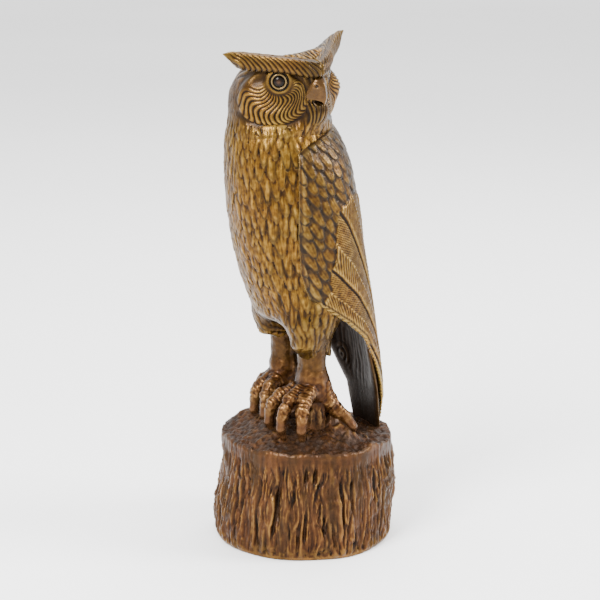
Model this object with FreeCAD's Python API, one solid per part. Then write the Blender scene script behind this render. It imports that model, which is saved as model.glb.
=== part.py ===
"""Owl figurine: a horned owl, cast in sections and pinned together, standing on a cast tree stump.

Units are millimetres. +Z is up, the origin is the middle of the felt under the stump, and the owl's
body faces -Y, so its left side is +X. Its head looks back over its left shoulder.
"""

import FreeCAD
import Part

import math
import os

# Driving dimensions
STUMP_RADIUS = 51.0
STUMP_TOP = 60.0
LEG_SPACING = 31.4
WALL = 3.5
HEAD_TURN = 100.0
HEAD_TILT = 7.0

# Stump, board and felt
FELT_THICK = 1.5
FELT_RADIUS = 45.5
BOARD_THICK = 3.0
BOARD_RADIUS = 43.0
STUMP_WALL = 6.0
STUMP_ROOF = 6.0
BOARD_GAP = 0.1
FLUTE_COUNT = 22
FLUTE_RADIUS = 2.2
LUG_RADIUS = 4.5
LUG_RING = 39.0
LUG_HEIGHT = 12.0
SCREW_RADIUS = 1.5
SCREW_HEAD_RADIUS = 2.9
SCREW_LENGTH = 11.0
SCREW_CLEARANCE = 0.05

# Legs and feet
LEG_X = LEG_SPACING / 2
LEG_Y = -4.6
LEG_RADIUS = 7.5
ANKLE_Z = 88.0
HEM_Z = 112.0
LEG_SPIGOT_RADIUS = 6.0
LEG_SPIGOT_TOP = 126.0
FRONT_TOE_ANGLES = (-25.0, 14.0, 44.0)
HIND_TOE_ANGLE = 150.0
# Joints of a toe, from its root to its claw's tip: distance from the leg's axis, height, radius
FRONT_TOE = ((3.5, 87.5, 6.2), (15.0, 86.0, 4.2), (22.3, 79.5, 3.4), (24.2, 70.5, 2.7), (21.5, 61.0, 1.3))
HIND_TOE = ((2.0, 86.0, 6.0), (10.5, 79.5, 4.9), (18.6, 72.0, 3.8), (22.0, 66.0, 3.2), (20.5, 60.5, 1.4))
STUD_RADIUS = 3.0
STUD_BOTTOM = 42.0
STUD_TOP = 80.0
NUT_HEIGHT = 5.0
NUT_FLATS = 10.0
WASHER_RADIUS = 7.0
WASHER_THICK = 1.2
PIN_RADIUS = 1.5

# Body outline: height, half width, front y, back y
BODY_SECTIONS = (
    (122.0, 20.0, -22.0, 24.0),
    (128.0, 26.0, -27.0, 27.5),
    (138.0, 31.0, -31.0, 29.6),
    (152.0, 34.0, -36.5, 28.8),
    (172.0, 35.3, -41.5, 25.4),
    (192.0, 35.3, -44.5, 21.9),
    (212.0, 33.5, -46.0, 17.6),
    (228.0, 29.5, -46.0, 13.5),
)
# Folded wings and tail together: height, half width, front y, back y of the closed cloak they form
CLOAK_SECTIONS = (
    (57.0, 25.0, 5.0, 46.0),
    (80.0, 27.0, -5.0, 44.0),
    (100.0, 30.0, -15.0, 41.3),
    (120.0, 33.0, -24.0, 38.4),
    (138.0, 35.5, -31.0, 35.6),
    (152.0, 37.0, -36.0, 32.6),
    (172.0, 38.0, -41.0, 28.8),
    (192.0, 38.0, -44.5, 25.2),
    (212.0, 36.3, -46.0, 20.8),
    (227.0, 32.4, -46.6, 16.8),
)
# Side outline of a folded wing, y and z, from the top of its front edge down and round behind
WING_OUTLINE = (
    (-18.0, 226.0),
    (-22.0, 222.0),
    (-23.4, 210.0),
    (-23.5, 180.0),
    (-21.0, 158.0),
    (-15.5, 144.0),
    (-4.0, 136.0),
    (8.0, 128.0),
    (20.0, 118.0),
    (31.0, 101.0),
    (38.0, 86.0),
    (41.6, 74.0),
    (43.8, 61.0),
    (55.0, 61.0),
    (55.0, 226.0),
)
# Side outline of the tail, y and z, from its foot up its front edge and down behind it
TAIL_OUTLINE = (
    (41.0, 57.0),
    (37.5, 80.0),
    (28.5, 103.5),
    (22.0, 126.0),
    (26.0, 150.0),
    (55.0, 150.0),
    (55.0, 57.0),
)
WING_THICK = 2.6
TAIL_THICK = 4.0
WING_GAP = 0.15

# Head
NECK_Z = 228.0
HEAD_CENTRE = (0.0, -17.0)
# Height, half width, reach behind, reach in front
HEAD_SECTIONS = (
    (NECK_Z, 29.0, 28.2, 28.0),
    (240.0, 29.8, 27.4, 33.0),
    (255.0, 29.0, 26.0, 36.0),
    (266.0, 26.0, 20.0, 34.5),
    (275.5, 19.0, 8.0, 30.0),
)
SPIGOT_RADIUS = 23.0
SPIGOT_DEPTH = 9.0
EYE_FORWARD = 21.3
EYE_LATERAL = 16.8
EYE_Z = 263.5
EYE_RADIUS = 4.3
EYE_DEPTH = 4.0
EYE_FACING = 45.0
DISC_LOW = 238.0
DISC_HIGH = 270.0
RING_RADIUS = 5.6
RING_DEPTH = 2.6
# Brow and ear tuft, from the middle of the brow to the tip: forward, sideways, up, half depth, half height
TUFT_SECTIONS = (
    (31.5, 2.2, 269.4, 3.8, 3.5),
    (24.5, 13.5, 271.4, 3.7, 3.6),
    (13.0, 25.5, 274.2, 3.2, 4.4),
    (8.0, 33.0, 276.0, 2.3, 3.9),
    (5.0, 41.3, 280.0, 0.6, 0.7),
)
# Beak, from forehead to tip: forward, up, half width, half depth
BEAK_SECTIONS = (
    (32.5, 264.5, 2.6, 2.6),
    (32.5, 257.5, 5.8, 5.2),
    (35.0, 252.5, 3.6, 3.2),
    (36.8, 248.6, 0.8, 0.8),
)

UP = FreeCAD.Vector(0, 0, 1)


def vec(x, y, z):
    return FreeCAD.Vector(x, y, z)


def cylinder(radius, z_low, z_high, x=0.0, y=0.0):
    return Part.makeCylinder(radius, z_high - z_low, vec(x, y, z_low), UP)


def rod(radius, start, end):
    """A round bar from start to end."""
    along = end - start
    return Part.makeCylinder(radius, along.Length, start, along)


def oval_wire(z, half_width, front, back, points=16, roundness=1.0):
    """A closed oval at height z, widest at x = +-half_width, from y = front to y = back.
    A roundness under 1 fills out its corners."""
    middle = (front + back) / 2
    reach = (back - front) / 2
    ring = []
    for i in range(points):
        turn = 2 * math.pi * i / points
        across = math.copysign(abs(math.cos(turn)) ** roundness, math.cos(turn))
        along = math.copysign(abs(math.sin(turn)) ** roundness, math.sin(turn))
        ring.append(vec(half_width * across, middle + reach * along, z))
    return spline_wire(ring)


def spline_wire(ring):
    curve = Part.BSplineCurve()
    curve.interpolate(Points=ring, PeriodicFlag=True)
    return Part.Wire([curve.toShape()])


def loft(wires):
    return Part.makeLoft(wires, True, False, False)


def oval_loft(sections, shrink=0.0, roundness=1.0):
    """A solid through oval sections, each pulled in by shrink all round."""
    wires = []
    for z, half_width, front, back in sections:
        wires.append(oval_wire(z, half_width - shrink, front + shrink, back - shrink, 16, roundness))
    return loft(wires)


def side_prism(outline, x_low, x_high):
    """The side outline (y, z) extruded across the owl."""
    ring = [vec(x_low, y, z) for y, z in outline]
    face = Part.Face(Part.makePolygon(ring + ring[:1]))
    return face.extrude(vec(x_high - x_low, 0, 0))


def turned_head(shape):
    """Moves a shape from the head's own frame (+X forward, +Y its left) onto the neck, upright."""
    moved = shape.copy()
    moved.rotate(vec(0, 0, 0), UP, HEAD_TURN - 90)
    moved.translate(vec(*HEAD_CENTRE, 0))
    return moved


def head_place(shape):
    """As turned_head, with the face's tilt about its own forward axis."""
    tilted = shape.copy()
    tilted.rotate(vec(0, 0, EYE_Z), vec(1, 0, 0), HEAD_TILT)
    return turned_head(tilted)


def save(name, *solids):
    shape = solids[0] if len(solids) == 1 else Part.makeCompound(list(solids))
    if not shape.isValid():
        raise ValueError(f"{name} isn't a valid shape")
    shape.exportStep(os.path.join("parts", f"{name}.step"))
    print(f"{name:18s} solids {len(shape.Solids)} volume {shape.Volume:10.1f}")


def leg_sides():
    """The name and the x of each leg: the owl's left leg is at +X."""
    return (("left", LEG_X), ("right", -LEG_X))


# Stump


def stump_outer():
    """The bark wall: a barrel with a rounded rim and a low perch mound under the feet."""
    profile = [
        vec(0, 0, FELT_THICK),
        vec(STUMP_RADIUS - 2.8, 0, FELT_THICK),
        vec(STUMP_RADIUS, 0, STUMP_TOP * 0.22),
        vec(STUMP_RADIUS - 0.6, 0, STUMP_TOP * 0.5),
        vec(STUMP_RADIUS - 2.6, 0, STUMP_TOP * 0.87),
        vec(STUMP_RADIUS - 4.6, 0, STUMP_TOP),
        vec(0, 0, STUMP_TOP),
    ]
    side = Part.BSplineCurve()
    side.interpolate(Points=profile[1:6])
    edges = [
        Part.LineSegment(profile[0], profile[1]).toShape(),
        side.toShape(),
        Part.LineSegment(profile[5], profile[6]).toShape(),
        Part.LineSegment(profile[6], profile[0]).toShape(),
    ]
    return Part.Face(Part.Wire(edges)).revolve(vec(0, 0, 0), UP, 360)


def perch_mound():
    """The lump of wood that the talons close on, sunk into the stump's top."""
    mound_height = 4.5
    sunk = 2.0
    low = oval_wire(STUMP_TOP - sunk, 40.0, -36.0, 24.0)
    high = oval_wire(STUMP_TOP + mound_height, 25.0, -20.0, 8.0)
    return loft([low, high])


def bark_flutes():
    """Upright furrows in the bark, in turn deep and shallow, that fade out below the rim."""
    flutes = []
    for i in range(FLUTE_COUNT):
        turn = 2 * math.pi * i / FLUTE_COUNT
        radius = STUMP_RADIUS + (0.4 if i % 2 else 1.2)
        top = STUMP_TOP - (8 if i % 2 else 4)
        x = radius * math.cos(turn)
        y = radius * math.sin(turn)
        flutes.append(cylinder(FLUTE_RADIUS, 7, top, x, y))
    return flutes


def lug_places():
    """Middles of the three screw lugs inside the stump wall."""
    turns = [math.radians(30 + 120 * i) for i in range(3)]
    return [(LUG_RING * math.cos(t), LUG_RING * math.sin(t)) for t in turns]


def make_stump():
    stump = stump_outer().fuse(perch_mound())
    cavity_radius = STUMP_RADIUS - STUMP_WALL - 3.5
    board_top = FELT_THICK + BOARD_THICK
    cavity = cylinder(cavity_radius, board_top, STUMP_TOP - STUMP_ROOF)
    rebate = cylinder(BOARD_RADIUS + BOARD_GAP, FELT_THICK - 1, board_top)
    for x, y in lug_places():
        cavity = cavity.cut(cylinder(LUG_RADIUS, board_top, board_top + LUG_HEIGHT, x, y))
    stump = stump.cut(cavity).cut(rebate).cut(bark_flutes())
    for x, y in lug_places():
        hole_radius = SCREW_RADIUS + SCREW_CLEARANCE
        stump = stump.cut(cylinder(hole_radius, board_top - 1, board_top + SCREW_LENGTH - 2, x, y))
    for _, x in leg_sides():
        stump = stump.cut(cylinder(STUD_RADIUS + 0.3, STUMP_TOP - STUMP_ROOF - 1, STUMP_TOP + 9, x, LEG_Y))
    return stump


def make_board():
    board = cylinder(BOARD_RADIUS, FELT_THICK, FELT_THICK + BOARD_THICK)
    for x, y in lug_places():
        sink_depth = SCREW_HEAD_RADIUS - SCREW_RADIUS
        sink = Part.makeCone(
            SCREW_HEAD_RADIUS + SCREW_CLEARANCE,
            SCREW_RADIUS + SCREW_CLEARANCE,
            sink_depth,
            vec(x, y, FELT_THICK),
            UP,
        )
        hole = cylinder(SCREW_RADIUS + SCREW_CLEARANCE, FELT_THICK, FELT_THICK + BOARD_THICK, x, y)
        board = board.cut(sink).cut(hole)
    return board


def make_board_screw(x, y):
    sink_depth = SCREW_HEAD_RADIUS - SCREW_RADIUS
    head = Part.makeCone(SCREW_HEAD_RADIUS, SCREW_RADIUS, sink_depth, vec(x, y, FELT_THICK), UP)
    shank = cylinder(SCREW_RADIUS, FELT_THICK, FELT_THICK + SCREW_LENGTH, x, y)
    slot = Part.makeBox(2 * SCREW_HEAD_RADIUS, 0.7, 0.7, vec(x - SCREW_HEAD_RADIUS, y - 0.35, FELT_THICK))
    return head.fuse(shank).cut(slot)


# Legs


def make_toe(stops, angle, side, x):
    """One toe and its claw. Angle 0 points forward; side +1 is the left foot and turns a toe outward."""
    bend = math.radians(angle)
    out = vec(side * math.sin(bend), -math.cos(bend), 0)
    joints = [(vec(x, LEG_Y, height) + out * reach, radius) for reach, height, radius in stops]
    toe = Part.makeSphere(joints[0][1], joints[0][0])
    for (start, r_start), (end, r_end) in zip(joints, joints[1:]):
        along = end - start
        toe = toe.fuse(Part.makeCone(r_start, r_end, along.Length, start, along))
        toe = toe.fuse(Part.makeSphere(r_end, end))
    return toe


def make_leg(side_name, x):
    side = 1 if side_name == "left" else -1
    shank = cylinder(LEG_RADIUS, ANKLE_Z - 4, HEM_Z, x, LEG_Y)
    spigot = cylinder(LEG_SPIGOT_RADIUS, HEM_Z, LEG_SPIGOT_TOP, x, LEG_Y)
    ankle = Part.makeSphere(LEG_RADIUS + 1.6, vec(x, LEG_Y, ANKLE_Z - 3))
    sole = cylinder(STUD_RADIUS + 2.6, STUMP_TOP + 1.0, ANKLE_Z, x, LEG_Y)
    leg = shank.fuse(spigot).fuse(ankle).fuse(sole)
    for angle in FRONT_TOE_ANGLES:
        leg = leg.fuse(make_toe(FRONT_TOE, angle, side, x))
    leg = leg.fuse(make_toe(HIND_TOE, HIND_TOE_ANGLE, side, x))
    leg = leg.cut(stump_outer().fuse(perch_mound()))
    stud_hole = cylinder(STUD_RADIUS, STUMP_TOP - 5, STUD_TOP, x, LEG_Y)
    pin_hole = rod(PIN_RADIUS, *leg_pin_ends(x))
    return leg.cut(stud_hole).cut(pin_hole)


def leg_pin_ends(x):
    """The cross pin through the leg's spigot, from the front of the thigh to its back."""
    pin_z = (HEM_Z + LEG_SPIGOT_TOP) / 2
    return vec(x, LEG_Y - 9, pin_z), vec(x, LEG_Y + 9, pin_z)


def make_stud(x):
    return cylinder(STUD_RADIUS, STUD_BOTTOM, STUD_TOP, x, LEG_Y)


def make_washer(x):
    top = STUMP_TOP - STUMP_ROOF
    ring = cylinder(WASHER_RADIUS, top - WASHER_THICK, top, x, LEG_Y)
    return ring.cut(cylinder(STUD_RADIUS + 0.2, top - WASHER_THICK - 1, top + 1, x, LEG_Y))


def make_nut(x):
    top = STUMP_TOP - STUMP_ROOF - WASHER_THICK
    corner = NUT_FLATS / math.sqrt(3)
    turns = [math.radians(60 * i) for i in range(6)]
    ring = [vec(x + corner * math.cos(t), LEG_Y + corner * math.sin(t), top - NUT_HEIGHT) for t in turns]
    nut = Part.Face(Part.makePolygon(ring + ring[:1])).extrude(vec(0, 0, NUT_HEIGHT))
    return nut.cut(cylinder(STUD_RADIUS, top - NUT_HEIGHT - 1, top + 1, x, LEG_Y))


# Body, wings and tail


def thigh(x):
    """A feathered thigh, from inside the belly down to its hem."""
    stops = ((146.0, 15.0, 0.0), (132.0, 14.6, 0.0), (121.0, 12.2, 0.0), (HEM_Z, 9.2, 0.0))
    wires = []
    for z, radius, shift in stops:
        wires.append(Part.Wire([Part.Circle(vec(x, LEG_Y + shift, z), UP, radius).toShape()]))
    return loft(wires)


def body_outer():
    body = oval_loft(BODY_SECTIONS)
    for _, x in leg_sides():
        body = body.fuse(thigh(x))
    return body


def make_body():
    body = body_outer()
    cavity = oval_loft(BODY_SECTIONS[2:], WALL)
    neck_hole = cylinder(SPIGOT_RADIUS, NECK_Z - SPIGOT_DEPTH - 1, NECK_Z + 1, *HEAD_CENTRE)
    body = body.cut(cavity.common(cylinder(60, 130, NECK_Z - WALL))).cut(neck_hole)
    for _, x in leg_sides():
        body = body.cut(cylinder(LEG_SPIGOT_RADIUS, HEM_Z - 1, LEG_SPIGOT_TOP, x, LEG_Y))
        body = body.cut(rod(PIN_RADIUS, *leg_pin_ends(x)))
    for start, end in fixing_ends(WING_FIXINGS) + fixing_ends(TAIL_FIXINGS):
        body = body.cut(rod(SCREW_RADIUS, start, end))
    return body


# Fixing screws driven from inside the hollow body: head end and tip, as x, y, z
WING_FIXINGS = (
    ((31.2, -12.0, 200.0), (36.8, -12.0, 200.0)),
    ((31.0, -7.0, 165.0), (36.8, -7.0, 165.0)),
)
TAIL_FIXINGS = (((7.0, 24.6, 144.0), (7.0, 31.2, 144.0)),)


def fixing_ends(places):
    """Both sides' screws, as pairs of head end and tip."""
    ends = []
    for side in (1, -1):
        for head, tip in places:
            ends.append((vec(side * head[0], *head[1:]), vec(side * tip[0], *tip[1:])))
    return ends


def make_fixing(start, end):
    """A pan-head screw: its head sits in the hollow and its shank runs through the wall."""
    head_thick = 1.6
    along = (end - start).normalize()
    head = rod(SCREW_HEAD_RADIUS, start - along * head_thick, start)
    return head.fuse(rod(SCREW_RADIUS, start, end))


def cloak(sections, shrink):
    """The outside of the folded wings, pulled in by shrink."""
    return oval_loft(sections, shrink, 0.85)


def tail_core(shrink):
    return cloak(CLOAK_SECTIONS[:6], shrink)


def make_tail():
    """A shallow channel, open towards the legs, that reaches down to the stump's top."""
    channel = tail_core(WING_THICK + WING_GAP).cut(tail_core(WING_THICK + TAIL_THICK))
    tail = channel.common(side_prism(TAIL_OUTLINE, -40, 40))
    tail = tail.cut(body_outer()).cut(stump_outer())
    for start, end in fixing_ends(TAIL_FIXINGS):
        tail = tail.cut(rod(SCREW_RADIUS, start, end))
    return keep_largest(tail)


def make_wing(side):
    """A folded wing: a thin shell on the body's side whose long feathers lie over the tail."""
    across = (WING_GAP, 45) if side > 0 else (-45, -WING_GAP)
    shell = cloak(CLOAK_SECTIONS, 0.0).common(side_prism(WING_OUTLINE, *across))
    wing = shell.cut(body_outer()).cut(tail_core(WING_THICK))
    for start, end in fixing_ends(WING_FIXINGS):
        wing = wing.cut(rod(SCREW_RADIUS, start, end))
    return keep_largest(wing)


def keep_largest(shape):
    return max(shape.Solids, key=lambda solid: solid.Volume)


# Head


def head_wire(z, half_width, behind, front, points=16):
    """One level of the head in its own frame: round behind, drawn out to a keel in front."""
    keel = 1.0
    ring = []
    for i in range(points):
        turn = 2 * math.pi * i / points
        forward = math.cos(turn)
        reach = front if forward > 0 else behind
        squeeze = 1 - 0.12 * keel * max(0.0, forward) ** 2
        ring.append(vec(reach * forward, half_width * math.sin(turn) * squeeze, z))
    return spline_wire(ring)


def head_outer():
    return turned_head(loft([head_wire(*section) for section in HEAD_SECTIONS]))


def eye_axis(side):
    """The middle of an eye's front and the way it looks, in the head's own frame. side +1 is its left."""
    facing = math.radians(EYE_FACING) * side
    look = vec(math.cos(facing), math.sin(facing), 0)
    return vec(EYE_FORWARD + 1.5, side * (EYE_LATERAL + 1.0), EYE_Z), look


def make_eye(side):
    """A glass dome on a short cylinder that seats in the head."""
    front, look = eye_axis(side)
    seat = Part.makeCylinder(EYE_RADIUS, EYE_DEPTH, front - look * EYE_DEPTH, look)
    dome_radius = 5.5
    sunk = math.sqrt(dome_radius**2 - EYE_RADIUS**2)
    ball = Part.makeSphere(dome_radius, front - look * sunk)
    cap = ball.common(Part.makeCylinder(EYE_RADIUS, dome_radius, front, look))
    return head_place(seat.fuse(cap))


def make_ring(side):
    """The metal bezel round an eye."""
    front, look = eye_axis(side)
    start = front - look * (RING_DEPTH - 0.4)
    ring = Part.makeCylinder(RING_RADIUS, RING_DEPTH, start, look)
    return head_place(ring.cut(Part.makeCylinder(EYE_RADIUS, RING_DEPTH, start, look)))


def make_tuft(side):
    """One brow and its ear tuft, swept out and up to a point."""
    wires = []
    for forward, sideways, up, half_depth, half_height in TUFT_SECTIONS:
        ring = []
        for i in range(10):
            turn = 2 * math.pi * i / 10
            lean = half_depth * math.cos(turn)
            aside = side * (sideways + 0.45 * lean)
            ring.append(vec(forward + lean, aside, up + half_height * math.sin(turn)))
        wires.append(spline_wire(ring))
    tuft = head_place(loft(wires))
    return keep_largest(tuft.cut(eye_socket(side)).cut(make_beak()))


def make_beak():
    wires = []
    for forward, up, half_width, half_depth in BEAK_SECTIONS:
        turns = [2 * math.pi * i / 10 for i in range(10)]
        ring = [vec(forward + half_depth * math.cos(t), half_width * math.sin(t), up) for t in turns]
        wires.append(spline_wire(ring))
    return head_place(loft(wires))


def head_hollow():
    """The inside of the head, kept well behind the planed discs and the eye sockets."""
    behind_face = 17.0
    wires = []
    for z, half_width, behind, front in HEAD_SECTIONS:
        low = max(z, NECK_Z + WALL)
        level = min(low, HEAD_SECTIONS[-1][0] - WALL)
        wires.append(head_wire(level, half_width - 2 * WALL, behind - WALL, front - behind_face))
    return turned_head(loft(wires))


def neck_pin_ends(side):
    """A cross pin through the neck spigot, front and back of the body."""
    pin_z = NECK_Z - SPIGOT_DEPTH / 2
    middle = vec(HEAD_CENTRE[0], HEAD_CENTRE[1], pin_z)
    return middle + vec(0, side * (SPIGOT_RADIUS - 4), 0), middle + vec(0, side * (SPIGOT_RADIUS + 4), 0)


def disc_cut(side):
    """What is planed off one side of the face, to leave the flat disc that the eye sits in."""
    front, look = eye_axis(side)
    slab = Part.makeBox(20, 80, DISC_HIGH - DISC_LOW, vec(0, -40, DISC_LOW))
    slab.rotate(vec(0, 0, 0), UP, side * EYE_FACING)
    slab.translate(vec(front.x, front.y, 0) - look * 1.2)
    return head_place(slab)


def make_head():
    spigot = cylinder(SPIGOT_RADIUS, NECK_Z - SPIGOT_DEPTH, NECK_Z + 1, *HEAD_CENTRE)
    bore = cylinder(SPIGOT_RADIUS - WALL, NECK_Z - SPIGOT_DEPTH, NECK_Z + WALL, *HEAD_CENTRE)
    head = head_outer().fuse(spigot).cut(head_hollow()).cut(bore)
    for side in (1, -1):
        head = head.cut(disc_cut(side)).cut(make_tuft(side)).cut(eye_socket(side))
        head = head.cut(rod(PIN_RADIUS, *neck_pin_ends(side)))
    return keep_largest(head.cut(make_beak()))


def eye_socket(side):
    """The round pocket that the bezel and the glass sit in."""
    front, look = eye_axis(side)
    ring_start = front - look * (RING_DEPTH - 0.4)
    pocket = Part.makeCylinder(RING_RADIUS, 12, ring_start, look)
    seat = Part.makeCylinder(EYE_RADIUS, EYE_DEPTH + 8, front - look * EYE_DEPTH, look)
    return head_place(pocket.fuse(seat))


def main():
    os.makedirs("parts", exist_ok=True)
    save("felt_pad", cylinder(FELT_RADIUS, 0, FELT_THICK))
    save("base_board", make_board())
    save("board_screws", *[make_board_screw(x, y) for x, y in lug_places()])
    save("stump_base", make_stump())
    for name, x in leg_sides():
        save(f"{name}_leg", make_leg(name, x))
    save("leg_pins", *[rod(PIN_RADIUS, *leg_pin_ends(x)) for _, x in leg_sides()])
    save("foot_studs", *[make_stud(x) for _, x in leg_sides()])
    save("foot_washers", *[make_washer(x) for _, x in leg_sides()])
    save("foot_nuts", *[make_nut(x) for _, x in leg_sides()])
    body = make_body()
    for side in (1, -1):
        body = body.cut(rod(PIN_RADIUS, *neck_pin_ends(side)))
    save("body_shell", body)
    save("wing_screws", *[make_fixing(*ends) for ends in fixing_ends(WING_FIXINGS)])
    save("tail_screws", *[make_fixing(*ends) for ends in fixing_ends(TAIL_FIXINGS)])
    save("tail", make_tail())
    save("head_shell", make_head())
    save("neck_pins", *[rod(PIN_RADIUS, *neck_pin_ends(side)) for side in (1, -1)])
    save("beak", make_beak())
    for name, side in (("left", 1), ("right", -1)):
        save(f"{name}_wing", make_wing(side))
        save(f"{name}_brow_tuft", make_tuft(side))
        save(f"{name}_eye", make_eye(side))
        save(f"{name}_eye_ring", make_ring(side))


main()
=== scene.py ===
"""Looks of the horned owl statuette: every casting is carved here in the CAD castings' places.

Sizes are in millimetres and points are in the part's frame (+Z up, the owl's body faces -Y and its left
side is +X) until a mesh is made, which is in metres.
"""

import itertools
import math

import bpy
import numpy as np
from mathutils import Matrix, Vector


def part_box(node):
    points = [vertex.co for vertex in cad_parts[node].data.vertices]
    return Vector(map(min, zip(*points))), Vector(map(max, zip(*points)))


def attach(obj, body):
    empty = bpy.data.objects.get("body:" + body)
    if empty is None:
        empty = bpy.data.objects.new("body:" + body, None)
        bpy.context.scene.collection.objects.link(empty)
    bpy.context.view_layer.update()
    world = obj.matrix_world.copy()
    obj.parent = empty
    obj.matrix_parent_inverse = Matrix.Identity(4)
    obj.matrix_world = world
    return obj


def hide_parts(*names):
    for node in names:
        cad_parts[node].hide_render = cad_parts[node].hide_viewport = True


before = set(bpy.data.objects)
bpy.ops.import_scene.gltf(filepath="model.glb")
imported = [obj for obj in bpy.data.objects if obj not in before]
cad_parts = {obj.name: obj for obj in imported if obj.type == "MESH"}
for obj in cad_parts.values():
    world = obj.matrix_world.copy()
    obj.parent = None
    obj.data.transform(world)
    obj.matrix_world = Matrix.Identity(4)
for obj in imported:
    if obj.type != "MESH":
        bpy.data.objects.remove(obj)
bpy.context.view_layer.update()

import openvdb
from mathutils import Vector

MM = 0.001

# Sizes read from the frame


def node_box(name):
    """Lowest and highest corner of a CAD node, in millimetres."""
    low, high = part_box(name)
    return np.array(low) / MM, np.array(high) / MM


stump_low, stump_high = node_box("stump_base")
STUMP_RADIUS = (stump_high[0] - stump_low[0]) / 2
STUMP_FLOOR = stump_low[2]
# Legs' axes, head's axis and the eyes' height, as in the CAD
LEG_X, LEG_Y = 15.7, -4.6
HEAD_X, HEAD_Y = 0.0, -17.0
EYE_Z = 263.5
HEAD_YAW = math.radians(10.0)
HEAD_TILT = math.radians(7.0)

# Body and folded wings: height, half width, front y, back y
BODY_LEVELS = (
    (122.0, 20.0, -22.0, 24.0),
    (128.0, 26.0, -27.0, 27.5),
    (138.0, 31.0, -31.0, 29.6),
    (152.0, 34.0, -36.5, 28.8),
    (172.0, 35.3, -41.5, 25.4),
    (192.0, 35.3, -44.5, 21.9),
    (212.0, 33.5, -46.0, 17.6),
    (228.0, 29.8, -46.3, 13.5),
    (240.0, 27.0, -43.5, 10.0),
)
CLOAK_LEVELS = (
    (57.0, 26.5, 5.0, 47.5),
    (80.0, 28.5, -5.0, 45.6),
    (100.0, 31.0, -15.0, 42.6),
    (120.0, 33.5, -24.0, 39.0),
    (138.0, 35.5, -31.0, 35.6),
    (152.0, 37.0, -36.0, 32.6),
    (172.0, 38.0, -41.0, 28.8),
    (192.0, 38.0, -44.5, 26.0),
    (212.0, 36.6, -46.0, 22.2),
    (222.0, 34.2, -46.2, 19.2),
    (230.0, 30.4, -45.0, 16.0),
    (238.0, 25.0, -42.0, 11.5),
)
# Side outlines of a wing and of the tail: y, z
WING_OUTLINE = (
    (10.0, 237.0),
    (0.0, 234.0),
    (-14.0, 229.5),
    (-22.0, 223.5),
    (-23.4, 212.0),
    (-23.5, 180.0),
    (-21.0, 158.0),
    (-15.5, 144.0),
    (-4.0, 136.0),
    (8.0, 128.0),
    (20.0, 118.0),
    (31.0, 101.0),
    (38.6, 86.0),
    (42.8, 74.0),
    (45.6, 60.0),
    (60.0, 60.0),
    (60.0, 237.0),
)
TAIL_OUTLINE = (
    (41.0, 56.0),
    (37.5, 80.0),
    (28.5, 103.5),
    (22.0, 126.0),
    (24.0, 150.0),
    (60.0, 150.0),
    (60.0, 56.0),
)

# Noise and blending

LATTICE_SIZE = 32
rng = np.random.default_rng(11)
LATTICE = rng.random((LATTICE_SIZE,) * 3).astype(np.float32)


def noise(points, scale, seed=0.0):
    """Smooth noise from -1 to 1 at each point; scale is the size of a lump, one number or one per axis."""
    q = points / np.asarray(scale) + seed * 5.37
    cell = np.floor(q).astype(int)
    f = q - cell
    f = f * f * (3 - 2 * f)
    total = np.zeros(len(points))
    for corner in itertools.product((0, 1), repeat=3):
        weight = np.ones(len(points))
        for axis in range(3):
            weight = weight * (f[:, axis] if corner[axis] else 1 - f[:, axis])
        where = tuple(((cell + corner) % LATTICE_SIZE).T)
        total += weight * LATTICE[where]
    return total * 2 - 1


def rough(points, scale, octaves, seed=0.0):
    """Several sizes of noise added up."""
    total = np.zeros(len(points))
    for octave in range(octaves):
        total += noise(points, np.asarray(scale) / 2**octave, seed + octave) / 2**octave
    return total


def ramp(x, low, high):
    """0 below low, 1 above high, smooth between."""
    t = np.clip((x - low) / (high - low), 0, 1)
    return t * t * (3 - 2 * t)


def bell(x, middle, width):
    """1 at the middle, falling away over about the width on both sides."""
    return np.exp(-(((x - middle) / width) ** 2))


def smooth_min(a, b, k):
    h = np.clip(0.5 + 0.5 * (b - a) / k, 0, 1)
    return b + (a - b) * h - k * h * (1 - h)


def smooth_max(a, b, k):
    return -smooth_min(-a, -b, k)


# Solids as distance fields


def level_table(levels, heights):
    """Half width, middle y and half depth of an oval solid at each height, smoothed between its levels."""
    rows = np.array(levels)
    fine = np.linspace(rows[0, 0], rows[-1, 0], 241)
    out = []
    for column in (rows[:, 1], (rows[:, 2] + rows[:, 3]) / 2, (rows[:, 3] - rows[:, 2]) / 2):
        curve = np.interp(fine, rows[:, 0], column)
        padded = np.pad(curve, 12, mode="reflect", reflect_type="odd")
        kernel = np.hanning(25) / np.hanning(25).sum()
        curve = np.convolve(padded, kernel, "valid")
        out.append(np.interp(heights, fine, curve))
    return out


def oval_field(x, y, z, levels, shrink=0.0, power=2.0):
    """Signed distance, near enough, to an upright solid with oval sections."""
    half_width, middle, half_depth = level_table(levels, z.ravel())
    shape = z.shape
    a = (half_width - shrink).reshape(shape)
    b = (half_depth - shrink).reshape(shape)
    m = middle.reshape(shape)
    reach = (np.abs(x / a) ** power + np.abs((y - m) / b) ** power) ** (1 / power)
    return (reach - 1) * np.minimum(a, b)


def polygon_field(y, z, outline):
    """Signed distance to a polygon in the y, z plane."""
    best = np.full(np.broadcast(y, z).shape, 1e9)
    inside = np.zeros(best.shape, bool)
    for (y0, z0), (y1, z1) in zip(outline, outline[1:] + outline[:1]):
        ey, ez = y1 - y0, z1 - z0
        t = np.clip(((y - y0) * ey + (z - z0) * ez) / (ey * ey + ez * ez), 0, 1)
        best = np.minimum(best, (y - y0 - ey * t) ** 2 + (z - z0 - ez * t) ** 2)
        crosses = (z0 > z) != (z1 > z)
        side = (y - y0) * ez - (z - z0) * ey
        inside ^= crosses & ((side < 0) == (ez > 0))
    return np.where(inside, -1, 1) * np.sqrt(best)


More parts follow.
